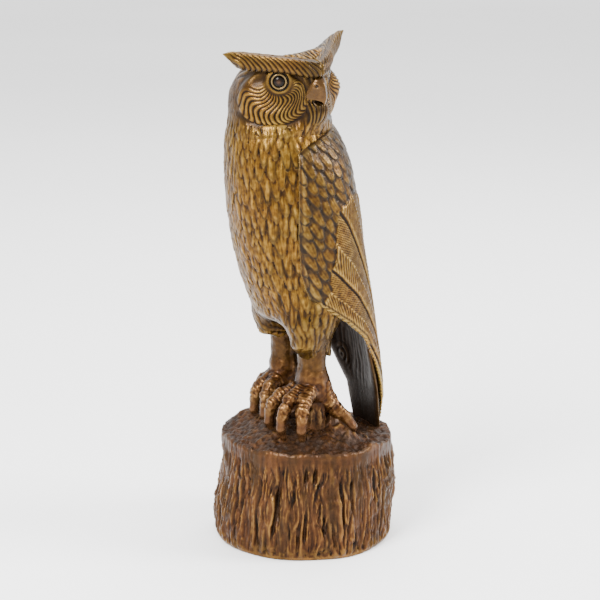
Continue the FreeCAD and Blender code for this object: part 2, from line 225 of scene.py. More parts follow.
def rod_field(x, y, z, start, end, r_start, r_end):
    """Signed distance to a round rod that tapers between two balls."""
    ax, ay, az = (float(e) - float(s) for s, e in zip(start, end))
    length2 = ax * ax + ay * ay + az * az
    px, py, pz = x - start[0], y - start[1], z - start[2]
    t = np.clip((px * ax + py * ay + pz * az) / length2, 0, 1)
    gap = np.sqrt((px - ax * t) ** 2 + (py - ay * t) ** 2 + (pz - az * t) ** 2)
    return gap - (r_start + (r_end - r_start) * t)


def chain_field(x, y, z, path, blend):
    """A smooth chain of tapering rods through (point, radius) stops."""
    field = None
    for (start, r_start), (end, r_end) in zip(path, path[1:]):
        link = rod_field(x, y, z, start, end, r_start, r_end)
        field = link if field is None else smooth_min(field, link, blend)
    return field


class Surface:
    """A closed surface of quads whose points can move along their normals, with marks on its points."""

    def __init__(self, points, quads):
        self.points = points
        self.quads = quads
        self.marks = {}
        self.pairs = np.concatenate([self.quads[:, [i, (i + 1) % 4]] for i in range(4)])
        self.counts = np.bincount(self.pairs.ravel(), minlength=len(self.points))
        if self.volume() < 0:
            self.quads = self.quads[:, ::-1].copy()
        self.find_normals()

    def volume(self):
        a, b, c, d = (self.points[self.quads[:, i]] for i in range(4))
        return (np.einsum("ij,ij->i", a, np.cross(b, c)) + np.einsum("ij,ij->i", a, np.cross(c, d))).sum() / 6

    def find_normals(self):
        a, b, c, d = (self.points[self.quads[:, i]] for i in range(4))
        across = np.cross(c - a, d - b)
        total = np.zeros_like(self.points)
        for i in range(4):
            for axis in range(3):
                total[:, axis] += np.bincount(self.quads[:, i], across[:, axis], minlength=len(total))
        self.normals = total / np.maximum(np.linalg.norm(total, axis=1, keepdims=True), 1e-9)

    def averaged(self, values):
        a, b = self.pairs.T
        size = len(self.points)
        total = np.bincount(a, values[b], minlength=size) + np.bincount(b, values[a], minlength=size)
        return total / np.maximum(self.counts, 1)

    def smoothed(self, values, rounds):
        for _ in range(rounds):
            values = self.averaged(values)
        return values

    def relax(self, rounds):
        """Evens out the meshing steps."""
        for _ in range(rounds):
            self.points = np.stack([self.averaged(self.points[:, i]) for i in range(3)], axis=1)
        self.find_normals()

    def push(self, amount):
        self.points = self.points + self.normals * np.asarray(amount)[:, None]
        self.find_normals()

    def find_relief(self, rounds=14, full=0.35):
        """Marks each point from 0, in a cut, to 1, on a ridge, by its height over its surroundings."""
        even = np.stack([self.smoothed(self.points[:, i], rounds) for i in range(3)], axis=1)
        height = np.einsum("ij,ij->i", self.points - even, self.normals)
        self.marks["relief"] = np.clip(0.5 + 0.5 * height / full, 0, 1)


class Carving(Surface):
    """A surface meshed from a distance field."""

    def __init__(self, low, high, step, field):
        axes = [np.arange(a, b + step, step, dtype=np.float32) for a, b in zip(low, high)]
        x, y, z = np.meshgrid(*axes, indexing="ij", sparse=True)
        values = np.ascontiguousarray(field(x, y, z), dtype=np.float32)
        grid = openvdb.FloatGrid(float(step) * 3)
        grid.copyFromArray(values)
        grid.transform = openvdb.createLinearTransform(voxelSize=float(step))
        points, quads = grid.convertToQuads(isovalue=0.0)
        super().__init__(points.astype(float) + np.array([a[0] for a in axes]), quads.astype(np.int64))


def add_mesh(name, points, faces, marks, material):
    """Makes a Blender object from points in millimetres, quads and one number per point and mark."""
    mesh = bpy.data.meshes.new(name)
    faces = np.asarray(faces)
    mesh.vertices.add(len(points))
    mesh.vertices.foreach_set("co", (np.asarray(points) * MM).astype(np.float32).ravel())
    mesh.loops.add(faces.size)
    mesh.loops.foreach_set("vertex_index", faces.astype(np.int32).ravel())
    mesh.polygons.add(len(faces))
    mesh.polygons.foreach_set("loop_start", np.arange(0, faces.size, faces.shape[1], dtype=np.int32))
    mesh.polygons.foreach_set("use_smooth", np.ones(len(faces), bool))
    mesh.update(calc_edges=True)
    for mark, values in marks.items():
        attribute = mesh.attributes.new(mark, "FLOAT", "POINT")
        attribute.data.foreach_set("value", np.asarray(values, dtype=np.float32))
    mesh.materials.append(material)
    piece = bpy.data.objects.new(name, mesh)
    bpy.context.scene.collection.objects.link(piece)
    return piece


def place(piece, slot, *nodes):
    """Ties a piece to the object's one body and to the CAD nodes it stands for, which it hides. The slot is
    not used.
    """
    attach(piece, "root")
    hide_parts(*nodes)


# Feather patterns


def hashed(column, row, seed):
    """A fixed random number from 0 to 1 for each feather."""
    mixed = np.sin(column * 127.1 + row * 311.7 + seed * 74.7) * 43758.5453
    return mixed - np.floor(mixed)


def shingles(u, v, width, pitch, length, point, seed, overlap=1.15, jitter=0.25):
    """Overlapping feathers in staggered rows. u runs across them and v down them.

    Returns for each point its height (0 to about 1), its place across the feather (-1 to 1), its place
    along it (0 at the root, 1 at the tip), how near the feather's edge is (0 at the edge), and the
    feather's random number. A larger point makes a longer, sharper tip."""
    height = np.full(u.shape, -1.0)
    across = np.zeros(u.shape)
    along = np.zeros(u.shape)
    edge = np.zeros(u.shape)
    number = np.zeros(u.shape)
    row_here = np.floor(v / pitch)
    for back in range(int(math.ceil(length / pitch)) + 1):
        row = row_here - back
        shift = 0.5 * np.mod(row, 2)
        column_here = np.floor(u / width - shift + 0.5)
        for aside in (-1, 0, 1):
            column = column_here + aside
            chance = hashed(column, row, seed)
            chance2 = hashed(column, row, seed + 3)
            middle = (column + shift + jitter * 0.5 * (chance2 - 0.5)) * width
            start = (row + jitter * (chance - 0.5)) * pitch
            b = (v - start) / length
            taper = np.clip((b - 0.35) / 0.65, 0, 1)
            half = overlap * 0.5 * width * np.sqrt(np.clip(1 - taper ** (2.6 / point), 0, 1)) + 1e-6
            a = (u - middle) / half
            near = np.minimum((1 - np.abs(a)) * half / (0.5 * width), (1 - b) * length / width)
            ok = (near > 0) & (b >= 0) & (b < 1)
            crown = np.sqrt(np.clip(1 - a * a, 0, 1))
            h = np.where(ok, 0.02 + 0.50 * b + 0.22 * crown, -1)
            better = h > height
            height = np.where(better, h, height)
            across = np.where(better, a, across)
            along = np.where(better, b, along)
            edge = np.where(better, near, edge)
            number = np.where(better, chance, number)
    return np.clip(height, 0, 2), across, along, edge, number


def stripes(phase, sharp=1.0):
    """Rounded ridges with narrow cuts between, 0 to 1, one ridge for each whole phase."""
    return np.abs(np.sin(np.pi * phase)) ** sharp


# Body


def round_angle(points, middle):
    """Angle round the body: 0 at the owl's left, -90 at the breast and 90 at the back, in degrees."""
    return np.degrees(np.arctan2(points[:, 1] - middle, points[:, 0]))


def body_field(x, y, z):
    trunk = oval_field(x, y, z, BODY_LEVELS)
    trunk = smooth_max(trunk, z - 239.0, 3.0)
    trunk = smooth_max(trunk, 126.0 - z, 8.0)
    for side in (1, -1):
        leg = LEG_X * side
        stops = [
            ((leg, LEG_Y + 1, 142), 15.5),
            ((leg, LEG_Y + 0.5, 127), 13.0),
            ((leg, LEG_Y, 114 - 1.5 * side), 7.8),
        ]
        thigh = chain_field(x, y, z, stops, 2.0)
        cuff_root, cuff_tip = (leg + side, LEG_Y + 3, 118), (leg + 3 * side, LEG_Y + 9.5, 107.5)
        thigh = smooth_min(thigh, rod_field(x, y, z, cuff_root, cuff_tip, 7.6, 1.3), 3.0)
        front = [
            ((leg + side, -12, 137), 10.5),
            ((leg + 3.3 * side, -12, 127), 9.6),
            ((leg + 2.8 * side, -11, 117.5), 7.4),
            ((leg + 1.2 * side, -7.5, 110.5), 5.2),
        ]
        lobe = chain_field(x, y, z, front, 2.0)
        if side < 0:
            lobe = smooth_max(lobe, 114.0 - z, 2.0)
        thigh = smooth_min(thigh, lobe, 3.0)
        trunk = smooth_min(trunk, thigh, 7.0)
    return trunk


def breast_feathers(points):
    """Carved depth, darkness and tone of the breast, belly and thighs."""
    _, middle, _ = level_table(BODY_LEVELS, points[:, 2])
    angle = round_angle(points, middle)
    z = points[:, 2]
    aside = angle * 0.62
    # short flames all over, longer and bolder ones beside the wings
    wing_side = np.clip(1.25 - np.abs(np.abs(angle + 90) - 56) / 26, 0, 1) * ramp(z, 236.0, 224.0)
    u = aside + 2.4 * noise(points, (7, 7, 11), 2) + 0.9 * noise(points, 3.4, 31)
    v = -z + 3.4 * noise(points, (7, 7, 12), 5)
    h1, a1, l1, e1, n1 = shingles(u, v, 4.3, 7.6, 13.5, 1.9, 4, 1.3, 0.95)
    u = aside + 1.5 * noise(points, (8, 8, 12), 12)
    h2, a2, l2, e2, n2 = shingles(u, v, 6.4, 10.2, 17.5, 1.8, 7, 1.15, 0.6)
    streak = noise(points, (1.3, 1.3, 6.5), 14) + 0.6 * noise(points, (0.9, 0.9, 3.0), 15)
    bold = ramp(wing_side, 0.1, 0.6)
    depth1 = 1.05 * h1 + 0.12 * stripes(a1 * 1.4 + 0.5)
    depth2 = 1.35 * h2 + 0.10 * stripes(a2 * 2.5)
    depth = depth1 * (1 - bold) + depth2 * bold + 0.22 * streak
    tips1 = 0.80 * ramp(e1, 0.34, 0.05) * ramp(l1, 0.3, 0.6) * (0.35 + 0.65 * n1)
    tips2 = ramp(e2, 0.52, 0.26) * ramp(l2, 0.35, 0.55)
    shade = tips1 * (1 - bold) + tips2 * bold * (0.55 + 0.45 * ramp(noise(points, 13.0, 40), -0.3, 0.3))
    # looser locks low down
    low = ramp(z, 150.0, 124.0)
    flow = aside + 2.0 * np.sin(z / 8.0 + angle / 11.0) + 3.0 * noise(points, 8.0, 8)
    locks = stripes(flow / 4.2, 0.9)
    depth = depth * (1 - 0.2 * low) + 0.28 * locks * low
    shade = np.maximum(shade, 0.25 * low * ramp(locks, 0.35, 0.05))
    return depth, shade, n1 * (1 - bold) + n2 * bold


def carve_body():
    block = Carving((-42, -52, 103), (42, 38, 241), 0.6, body_field)
    block.relax(2)
    depth, shade, tone = breast_feathers(block.points)
    z = block.points[:, 2]
    ends = ramp(z, 104.0, 109.0) * ramp(z, 241.0, 236.0)
    # surfaces that face downwards: carved less, and given painted shade
    below = ramp(block.normals[:, 2], -0.45, -0.8)
    lumps = rough(block.points, 5.0, 3, 3) * 0.18
    block.push((depth - 0.6) * ends * (1 - 0.7 * below) + lumps)
    block.find_relief(14, 0.42)
    z = block.points[:, 2]
    # darker towards the bottom of the thighs, and painted shade on the bottom of the hems
    low = 0.54 * ramp(z, 146.0, 122.0) + 0.15 * ramp(z, 116.0, 110.0)
    block.marks["shade"] = np.maximum.reduce([shade, 0.7 * below, low])
    block.marks["tone"] = tone
    return block


# Wings and tail

# On a wing spread flat: millimetres across it for each radian round the body, then its lower edge and the
# line where its small feathers end (places across and heights), and the point its long feathers fan out from
WING_MIDDLE = 37.0
EDGE_P = (-18.8, -7.7, 2.6, 14.0, 26.7, 35.6, 42.0, 60.0)
EDGE_Z = (144.0, 136.0, 128.0, 118.0, 101.0, 86.0, 74.0, 50.0)
QUILL_P = (-19.0, -10.0, -4.5, 2.6, 7.8, 15.0, 58.0)
QUILL_Z = (133.0, 141.0, 150.0, 167.0, 190.0, 198.0, 202.0)
FAN_POINT = (46.0, 66.0)


def cloak_field(x, y, z, shrink):
    return oval_field(x, y, z, CLOAK_LEVELS, shrink, 2.35)


def wing_place(points, side):
    """Where a point is on the spread-out wing: p across it from the side to the back, and its height."""
    _, middle, _ = level_table(CLOAK_LEVELS, points[:, 2])
    angle = np.arctan2(points[:, 1] - middle, points[:, 0] * side)
    return WING_MIDDLE * angle, points[:, 2]


def wing_feathers(points, side):
    """Carved depth, darkness and tone of a wing's outside."""
    p, z = wing_place(points, side)
    # small feathers
    lean = math.radians(23)
    u = p * math.cos(lean) + z * math.sin(lean) + 1.5 * noise(points, 8.0, 6)
    v = p * math.sin(lean) - z * math.cos(lean) + 1.8 * noise(points, 7.0, 7)
    height, across, along, edge, number = shingles(u, v, 6.6, 7.4, 12.5, 1.45, 9, 1.05, 0.55)
    scale_depth = 1.15 * height + 0.10 * stripes(across * 1.6 + 0.5) + 0.12 * noise(points, 1.6, 3)
    scale_shade = np.maximum(ramp(edge, 0.44, 0.14), 0.8 * ramp(along, 0.36, 0.16))
    # long feathers, in strips that fan out from the wing's tip
    reach = np.hypot(p - FAN_POINT[0], z - FAN_POINT[1]) + 0.8 * noise(points, 9.0, 21)
    lift = 0.72 * (z - np.interp(p, EDGE_P, EDGE_Z)) + 0.5 * noise(points, 12.0, 22)
    broad = 4.0 + 0.160 * reach
    strip = lift / broad
    number_long = np.floor(strip)
    a = (strip - number_long - 0.5) * 2
    a_mm = np.abs(a) * broad / 2
    barbs = stripes((reach + 1.5 * a_mm + 0.6 * noise(points, 4.0, 23)) / 2.3, 0.8)
    quill = bell(a_mm, 0, 0.45)
    step = 0.35 + 0.7 * (1 - (a + 1) / 2)
    edge_long = 1 - np.abs(a)
    long_depth = step * ramp(edge_long, 0.0, 0.1) + 0.50 * barbs * ramp(edge_long, 0.02, 0.10) + 0.3 * quill
    long_shade = np.maximum(0.8 * ramp(edge_long, 0.09, 0.01), 0.5 * ramp(barbs, 0.45, 0.1))
    # the smooth beaded band along the lower edge
    inside = -polygon_field(points[:, 1], z, WING_OUTLINE)
    on_edge = ramp(z, 150.0, 142.0)
    band = ramp(inside, 1.5, 1.0) * on_edge
    groove = bell(inside, 1.9, 0.45) * on_edge
    beads = 0.5 * stripes(z / 2.3) * band
    long_depth = long_depth * (1 - band) + (0.55 + beads) * band - 0.5 * groove
    long_shade = np.maximum(long_shade * (1 - band), 0.9 * groove)
    ragged = np.interp(p, QUILL_P, QUILL_Z) + 4.0 * (height - 0.5) + 3.5 * noise(points, 8.0, 1)
    small = ramp(z, ragged - 1.8, ragged + 1.8)
    depth = scale_depth * small + long_depth * (1 - small)
    shade = scale_shade * small + long_shade * (1 - small)
    # the front edge and the shoulder's sink into a dark groove
    rim = ramp(inside, 2.8, 0.4) * ramp(z, 140.0, 150.0)
    depth = depth * (1 - rim) - 0.2 * rim
    shade = np.maximum(shade, 0.45 * rim)
    tone = np.where(small > 0.5, number, hashed(number_long, 1.0, 2))
    return depth, shade, tone


def wing_field(side):
    def field(x, y, z):
        outside = cloak_field(x, y, z, 0.4)
        plan = np.broadcast_to(polygon_field(y, z, WING_OUTLINE), outside.shape)
        wing = smooth_max(outside, plan, 2.0)
        wing = smooth_max(wing, -cloak_field(x, y, z, 2.8), 0.6)
        return np.maximum(wing, 0.1 - x * side)

    return field


def carve_wing(side):
    block = Carving((min(0, 40 * side), -30, 58), (max(0, 40 * side), 49, 239), 0.5, wing_field(side))
    block.relax(2)
    outward = cloak_field(*(block.points[:, i] for i in range(3)), 1.9)
    depth, shade, tone = wing_feathers(block.points, side)
    outer = ramp(outward, -0.3, 0.4)
    # painted shade on surfaces that face upwards, such as the shoulder, where the top light falls
    shade = np.maximum(shade, 0.6 * ramp(block.normals[:, 2], 0.08, 0.4))
    rim = ramp(block.points[:, 0] * side, 0.3, 1.6)
    block.push(((depth - 0.5) * outer + 0.15 * rough(block.points, 4.0, 2, 4)) * rim)
    block.find_relief()
    block.marks["shade"] = np.where(outer > 0.5, shade, 0.6)
    block.marks["tone"] = tone
    return block


def tail_field(x, y, z):
    plate = np.maximum(cloak_field(x, y, z, 3.0), -cloak_field(x, y, z, 6.8))
    plan = np.broadcast_to(polygon_field(y, z, TAIL_OUTLINE), plate.shape)
    return smooth_max(plate, plan, 1.6)


def carve_tail():
    block = Carving((-36, 10, 55), (36, 49, 151), 0.5, tail_field)
    block.relax(2)
    x, y, z = block.points.T
    grain = stripes(x / 3.8 + 0.9 * noise(block.points, (5, 5, 22), 3), 0.8) * 0.35
    knot = np.hypot((x + 14.0) / 4.0, (z - 97.0) / 6.5)
    rings = stripes(knot * 1.6, 0.8) * np.clip(1.6 - knot, 0, 1)
    inward = ramp(-cloak_field(x, y, z, 5.0), -0.5, 0.5)
    rim = ramp(-polygon_field(y, z, TAIL_OUTLINE), 0.5, 3.0)
    block.push((grain * 0.8 + rings * 1.1 * inward + 0.25 * rough(block.points, 7.0, 3, 7) - 0.2) * rim)
    block.find_relief(14, 0.6)
    block.marks["shade"] = 0.25 + 0.35 * inward
    block.marks["tone"] = hashed(np.floor(x / 4.0), 2.0, 1)
    return block


# Legs

# Turns of the toes from straight ahead, in degrees, and their sizes on the left (1) and the right (-1) foot
TOE_TURNS = (-25.0, 14.0, 44.0)
TOE_SIZES = {1: (1.0, 0.98, 0.9), -1: (0.80, 0.74, 0.70)}
HIND_TURN = 150.0
# Middle line of a toe and its claw: distance from the leg's axis, height and radius
FRONT_TOE = ((3.0, 88.0, 6.2), (9.5, 87.8, 4.6), (16.5, 85.4, 3.8), (21.6, 80.6, 3.4), (23.6, 75.6, 3.1))
FRONT_CLAW = ((23.6, 75.6, 3.0), (24.2, 70.0, 2.6), (22.6, 65.0, 1.9), (21.0, 62.0, 1.0))
HIND_TOE = ((2.0, 86.0, 6.0), (9.5, 80.5, 5.0), (14.5, 75.2, 4.2), (18.6, 72.0, 3.8))
HIND_CLAW = ((18.6, 72.0, 3.8), (22.0, 66.5, 3.3), (21.2, 61.5, 2.0), (20.0, 58.5, 1.0))


def foot_path(side, turn, size, stops):
    bend = math.radians(turn)
    out_x, out_y = side * math.sin(bend), -math.cos(bend)
    return [((LEG_X * side + out_x * t * size, LEG_Y + out_y * t * size, z), r) for t, z, r in stops]


def toes_and_claws(side):
    for turn, size in zip(TOE_TURNS, TOE_SIZES[side]):
        yield foot_path(side, turn, size, FRONT_TOE), foot_path(side, turn, size, FRONT_CLAW)
    yield foot_path(side, HIND_TURN, 1.0, HIND_TOE), foot_path(side, HIND_TURN, 1.0, HIND_CLAW)


def leg_field(side):
    foot_x = LEG_X * side

    def field(x, y, z):
        leg = rod_field(x, y, z, (foot_x, LEG_Y, 122), (foot_x, LEG_Y, 97), 7.9, 7.3)
        heel = rod_field(x, y, z, (foot_x, LEG_Y, 95), (foot_x, LEG_Y - 1, 87), 7.6, 8.0)
        leg = smooth_min(leg, heel, 4.0)
        ankle_top, ankle_end = (foot_x + 2 * side, LEG_Y + 4, 92), (foot_x + 4 * side, LEG_Y + 8, 83)
        leg = smooth_min(leg, rod_field(x, y, z, ankle_top, ankle_end, 5.5, 4.2), 3.0)
        post = rod_field(x, y, z, (foot_x, LEG_Y, 84), (foot_x, LEG_Y, 60), 6.5, 10.5)
        leg = smooth_min(leg, post, 2.0)
        for toe_stops, claw_stops in toes_and_claws(side):
            toe = chain_field(x, y, z, toe_stops, 1.5)
            claw = chain_field(x, y, z, claw_stops, 1.2)
            leg = smooth_min(leg, np.minimum(toe, claw), 1.5)
        return leg

    return field


def carve_leg(side):
    foot_x = LEG_X * side
    block = Carving((foot_x - 34, LEG_Y - 32, 57), (foot_x + 34, LEG_Y + 28, 121), 0.46, leg_field(side))
    block.relax(2)
    x, y, z = block.points.T
    away = np.hypot(x - foot_x, y - LEG_Y)
    toe = np.full(len(x), 1e9)
    claw = np.full(len(x), 1e9)
    for toe_stops, claw_stops in toes_and_claws(side):
        toe = np.minimum(toe, chain_field(x, y, z, toe_stops, 1.0))
        claw = np.minimum(claw, chain_field(x, y, z, claw_stops, 1.0))
    is_claw = ramp(toe - claw, -0.2, 1.0) * ramp(z, 80, 75)
    on_toe = ramp(away, 8.0, 12.0) * (1 - is_claw) * ramp(z, 73, 80)
    run = away + 0.8 * (90 - z)
    ring = stripes(run / 2.9 + 0.45 * noise(block.points, 4.0, 2), 0.8)
    ring = ring * (0.5 + 0.5 * noise(block.points, 3.5, 12))
    web = stripes(away / 1.9 + 0.5 * noise(block.points, 6.0, 5)) * ramp(z, 82, 88) * ramp(away, 15.0, 9.0)
    knobs = rough(block.points, 2.8, 3, 6)
    turn = np.arctan2(y - LEG_Y, x - foot_x)
    shin = stripes(turn * 2.4 + 0.8 * noise(block.points, (5, 5, 16), 9), 0.9)
    on_shin = ramp(z, 90.0, 97.0)
    wood = rough(block.points, (2.2, 2.2, 7.0), 3, 16) * ramp(z, 82, 76) * ramp(away, 10, 7)
    depth = on_toe * (0.60 * ring + 0.30 * knobs) + 0.3 * web * (1 - is_claw) + on_shin * 0.10 * shin
    depth = depth + 0.18 * knobs * (1 - 0.7 * is_claw) - 0.12 * on_toe + 1.1 * wood
    block.push(depth)
    block.find_relief(14, 0.42)
    # painted shade under the foot, round its post and off the toes
    under = ramp(z, 84, 76) * ramp(away, 15, 11) * ramp(toe, 0.3, 1.5)
    block.marks["shade"] = np.clip(0.45 * under + 0.15 * on_shin * ramp(shin, 0.3, 0.05), 0, 1)
    block.marks["tone"] = np.clip(0.5 + 0.5 * noise(block.points, 9.0, 4), 0, 1)
    block.marks["claw"] = is_claw
    block.marks["shin"] = ramp(z, 90.0, 104.0)
    return block


# Stump


def stump_rings():
    """Radius and height of the stump's rings: underneath, up the bark, then in over the cut top."""
    lip = STUMP_FLOOR - 1.1
    under = [(8.0, STUMP_FLOOR), (24.0, STUMP_FLOOR), (40.0, STUMP_FLOOR), (46.0, STUMP_FLOOR), (46.4, lip)]
    side = []
    side_rows = 108
    for i in range(side_rows):
        height = lip + (57.5 - lip) * i / (side_rows - 1)
        foot = 1.3 * float(1 - ramp(np.array(height), lip - 1.0, 5.0)) ** 2
        rim = 3.4 * float(ramp(np.array(height), 22.0, 60.0))
        side.append((STUMP_RADIUS - 0.2 - foot - rim, height))
    top_rows = 66
    top = [(side[-1][0] * (1 - i / top_rows) ** 0.9, 58.5) for i in range(1, top_rows)]
    return under, side, top


def slits(angle, height, count, seed):
    """Long upright cracks in the bark: their depth at each angle (radians) and height."""
    chance = np.random.default_rng(seed)
    cut = np.zeros(angle.shape)
    for _ in range(count):
        middle = chance.uniform(-math.pi, math.pi)
        width = chance.uniform(0.6, 1.6)
        deep = chance.uniform(0.8, 2.8)
        low = chance.uniform(-4.0, 40.0)
        high = low + chance.uniform(8.0, 34.0)
        lean = chance.uniform(-0.16, 0.16)
        bow = chance.uniform(-1.4, 1.4)
        line = middle + (lean * (height - 30) + bow * np.sin((height - low) / 7.0)) / STUMP_RADIUS
        gap = np.abs((angle - line + math.pi) % (2 * math.pi) - math.pi) * STUMP_RADIUS
        ends = ramp(height, low, low + 8) * ramp(height, high, high - 10)
        cut = np.maximum(cut, deep * ends * np.clip(1 - gap / (width * (0.3 + 0.7 * ends)), 0, 1) ** 0.8)
    return cut


def grid_noise(grid, scale, octaves, seed):
    """Several sizes of noise at each point of a grid of points."""
    return rough(grid.reshape(-1, 3), scale, octaves, seed).reshape(grid.shape[:-1])


def stump_outline(angle, height):
    """How far the stump stands off a circle: a few broad bulges, one of them under its rim."""
    bulge = 0.7 * np.cos(3 * angle + 1.0) + 0.5 * np.cos(5 * angle - 0.6) + 0.35 * np.cos(8 * angle)
    bulge = bulge + 2.2 * np.cos(angle - 1.05) * ramp(height, 10.0, 45.0)
    bulge = bulge + 1.4 * np.cos(angle + 1.31) * (1 - ramp(height, 3.0, 28.0))
    return bulge + 2.0 * bell(angle, 4.2, 0.35) * ramp(height, 42.0, 56.0)


def bark_relief(grid, angle):
    """Depth of the bark and darkness in its cracks: swells, broken upright ridges, slits and chips."""
    height = grid[..., 2]
    warp = 1.3 * grid_noise(grid, (7.0, 7.0, 14.0), 2, 30)
    bent = grid + np.stack([warp, warp, 0 * warp], axis=-1)

    def creases(scale, seed, sharp):
        return (1 - np.abs(grid_noise(bent, scale, 1, seed))) ** sharp

    band = ramp(height, 0.5, 4.0) * (1 - 0.8 * ramp(height, 48.0, 54.0 + 3.0 * grid_noise(grid, 8.0, 1, 40)))
    swell = 1.1 * grid_noise(grid, (6.5, 6.5, 30.0), 2, 1)
    ridge = creases((3.0, 3.0, 26.0), 3, 3) * ramp(grid_noise(grid, (5.0, 5.0, 10.0), 1, 6), -0.5, 0.2)
    ridge = ridge + 0.6 * creases((1.5, 1.5, 13.0), 8, 3)
    grain = 0.55 * creases((1.1, 1.1, 11.0), 45, 2)
    chips = 0.32 * grid_noise(grid, (2.2, 2.2, 5.0), 3, 9)
    cut = slits(angle, height, 170, 5)
    split = 1.1 * creases((3.0, 3.0, 24.0), 61, 9)
    split = split * ramp(grid_noise(grid, (8.0, 8.0, 14.0), 1, 62), -0.4, 0.2)
    depth = band * (swell + 1.15 * ridge + grain - cut - split - 1.0) + chips * (0.5 + 0.5 * band)
    return depth, band * np.maximum(cut / 1.4, 0.8 * split)


def top_relief(grid, x, y, radius, angle):
    """Height of the cut top over its rim, the same on the rim itself, and height of the roots alone.

    The top is domed towards the talons, with a root under each foot and a knob, and chipped all over."""
    dome = 3.2 * (1 - ramp(radius, 18.0, 46.0))
    nest = 7.0 * np.exp(-(((x / 40) ** 2 + ((y + 8) / 30) ** 2) ** 2))
    roots = 0
    for foot in (1, -1):
        run = np.clip((x * foot - 5.0) / 27.0, 0, 1)
        off = np.hypot(x * foot - 5.0 - 27.0 * run, y - 10.0 * run)
        roots = roots + (9.5 - 5.0 * run) * np.exp(-((off / 5.6) ** 2.4))
    roots = roots * (1 + 0.25 * grid_noise(grid, (3.0, 3.0, 8.0), 3, 50))
    crumbs = 0.8 * grid_noise(grid, 5.2, 3, 12) - 1.2 * np.abs(grid_noise(grid, 2.8, 3, 17)) + 0.5
    raised = 2.6 * bell(angle, 0.36, 0.12) * ramp(radius, 40.0, 46.0)
    knob = 5.5 * np.exp(-((((x + 26) / 8) ** 2 + ((y + 25) / 8) ** 2) ** 1.2))
    return dome + nest + roots + knob + crumbs + raised, 0.7 * crumbs + raised, roots


def ring_surface(grid):
    """A closed surface from rings of points, with a middle point at each end."""
    count, turns, _ = grid.shape
    points = grid.reshape(-1, 3)
    index = np.arange(count * turns).reshape(count, turns)
    right = np.roll(index, -1, axis=1)
    quads = [np.stack([index[:-1], right[:-1], right[1:], index[1:]], axis=-1).reshape(-1, 4)]
    for ring, middle, turned in ((index[0], len(points), -1), (index[-1], len(points) + 1, 1)):
        even = np.arange(0, turns, 2)
        fan = [np.full(len(even), middle), ring[even], ring[even + 1], ring[(even + 2) % turns]]
        quads.append(np.stack(fan, axis=-1)[:, ::turned])
    ends = [[0, 0, grid[0, :, 2].mean()], [0, 0, grid[-1, :, 2].mean()]]
    return Surface(np.vstack([points, ends]), np.vstack(quads))


def carve_stump():
    under, side, top = stump_rings()
    rings = np.array(under + side + top)
    turn = np.linspace(0, 2 * math.pi, 580, endpoint=False)
    radius = rings[:, :1] + 0 * turn
    height = rings[:, 1:] + 0 * turn
    angle = turn[None, :] + 0 * radius
    grid = np.stack([radius * np.cos(angle), radius * np.sin(angle), height], axis=-1)
    on_side = np.zeros(radius.shape)
    on_side[len(under) : len(under) + len(side)] = 1
    on_top = np.zeros(radius.shape)
    on_top[len(under) + len(side) :] = 1
    bark, cracks = bark_relief(grid, angle)
    outline = stump_outline(angle, height) * np.clip(radius / STUMP_RADIUS, 0, 1)
    radius = radius + (on_side * bark + outline) * (on_side + on_top * ramp(radius, 36.0, 46.0))
    x, y = radius * np.cos(angle), radius * np.sin(angle)
    lift, rim_lift, roots = top_relief(grid, x, y, radius, angle)
    height = height + on_top * lift
    rim = len(under) + len(side) - 1
    height[rim] += rim_lift[rim]
    block = ring_surface(np.stack([x, y, height], axis=-1))
    block.find_relief(10, 0.6)
    marks = {
        "shade": (np.clip(on_side * cracks, 0, 1), [0, 0]),
        "tone": (np.clip(0.5 + 0.6 * grid_noise(grid, (9.0, 9.0, 30.0), 2, 21), 0, 1), [0.5, 0.5]),
        "top": (on_top * (1 - 0.6 * np.clip(roots / 8, 0, 1)), [0, 1]),
        "low": (on_side * ramp(height, 9.0, 3.0), [0, 0]),
        "soft": (on_top * ramp(radius, 36.0, 43.0) + on_side * ramp(height, 53.0, 57.0), [0, 0]),
    }
    for mark, (values, at_ends) in marks.items():
        block.marks[mark] = np.append(values.ravel(), at_ends)
    # the rim is worn softer than the rest
    relief = block.marks["relief"]
    block.marks["relief"] = np.where(block.marks.pop("soft") > 0.3, 0.45 + 0.45 * (relief - 0.5), relief)
    return block


# Head, in its own frame: forward, towards its left, and up

HEAD_LEVELS = (
    (218.0, 25.0, -26.0, 24.5),
    (227.0, 28.2, -27.0, 26.5),
    (235.0, 29.8, -27.7, 30.0),
    (243.0, 30.2, -27.8, 33.0),
    (250.0, 30.2, -27.8, 35.0),
    (257.0, 29.0, -26.3, 35.0),
    (264.0, 26.5, -20.5, 34.0),
    (270.0, 23.0, -14.0, 32.0),
    (277.0, 19.0, -5.0, 30.0),
)
EYE_FORWARD, EYE_ASIDE = 21.3, 16.8
DIAGONAL = math.sqrt(0.5)
DISC_MIDDLE = (4.5, -9.5)
DISC_REACH = (19.2, 14.8)
# Heights over which the crown's lines and the neck's flames take over from the small feathers
CROWN_FADE = (262.0, 268.0)
NECK_FADE = (247.0, 239.0)
# Brow ridge from over the beak to the tuft's tip: forward, aside, middle height, half height, half thickness
BROW = np.array(
    (
        (33.5, 0.0, 267.8, 4.4, 4.0),
        (31.0, 5.5, 269.0, 4.9, 4.0),
        (25.0, 13.5, 271.6, 4.4, 3.7),
        (17.8, 20.5, 273.2, 4.4, 3.5),
        (13.0, 25.5, 274.2, 4.6, 3.2),
        (9.5, 30.0, 275.1, 4.8, 2.8),
        (7.0, 34.5, 276.7, 4.0, 2.2),
        (5.5, 38.5, 278.8, 2.3, 1.3),
        (5.0, 42.0, 280.6, 0.4, 0.4),
    )
)


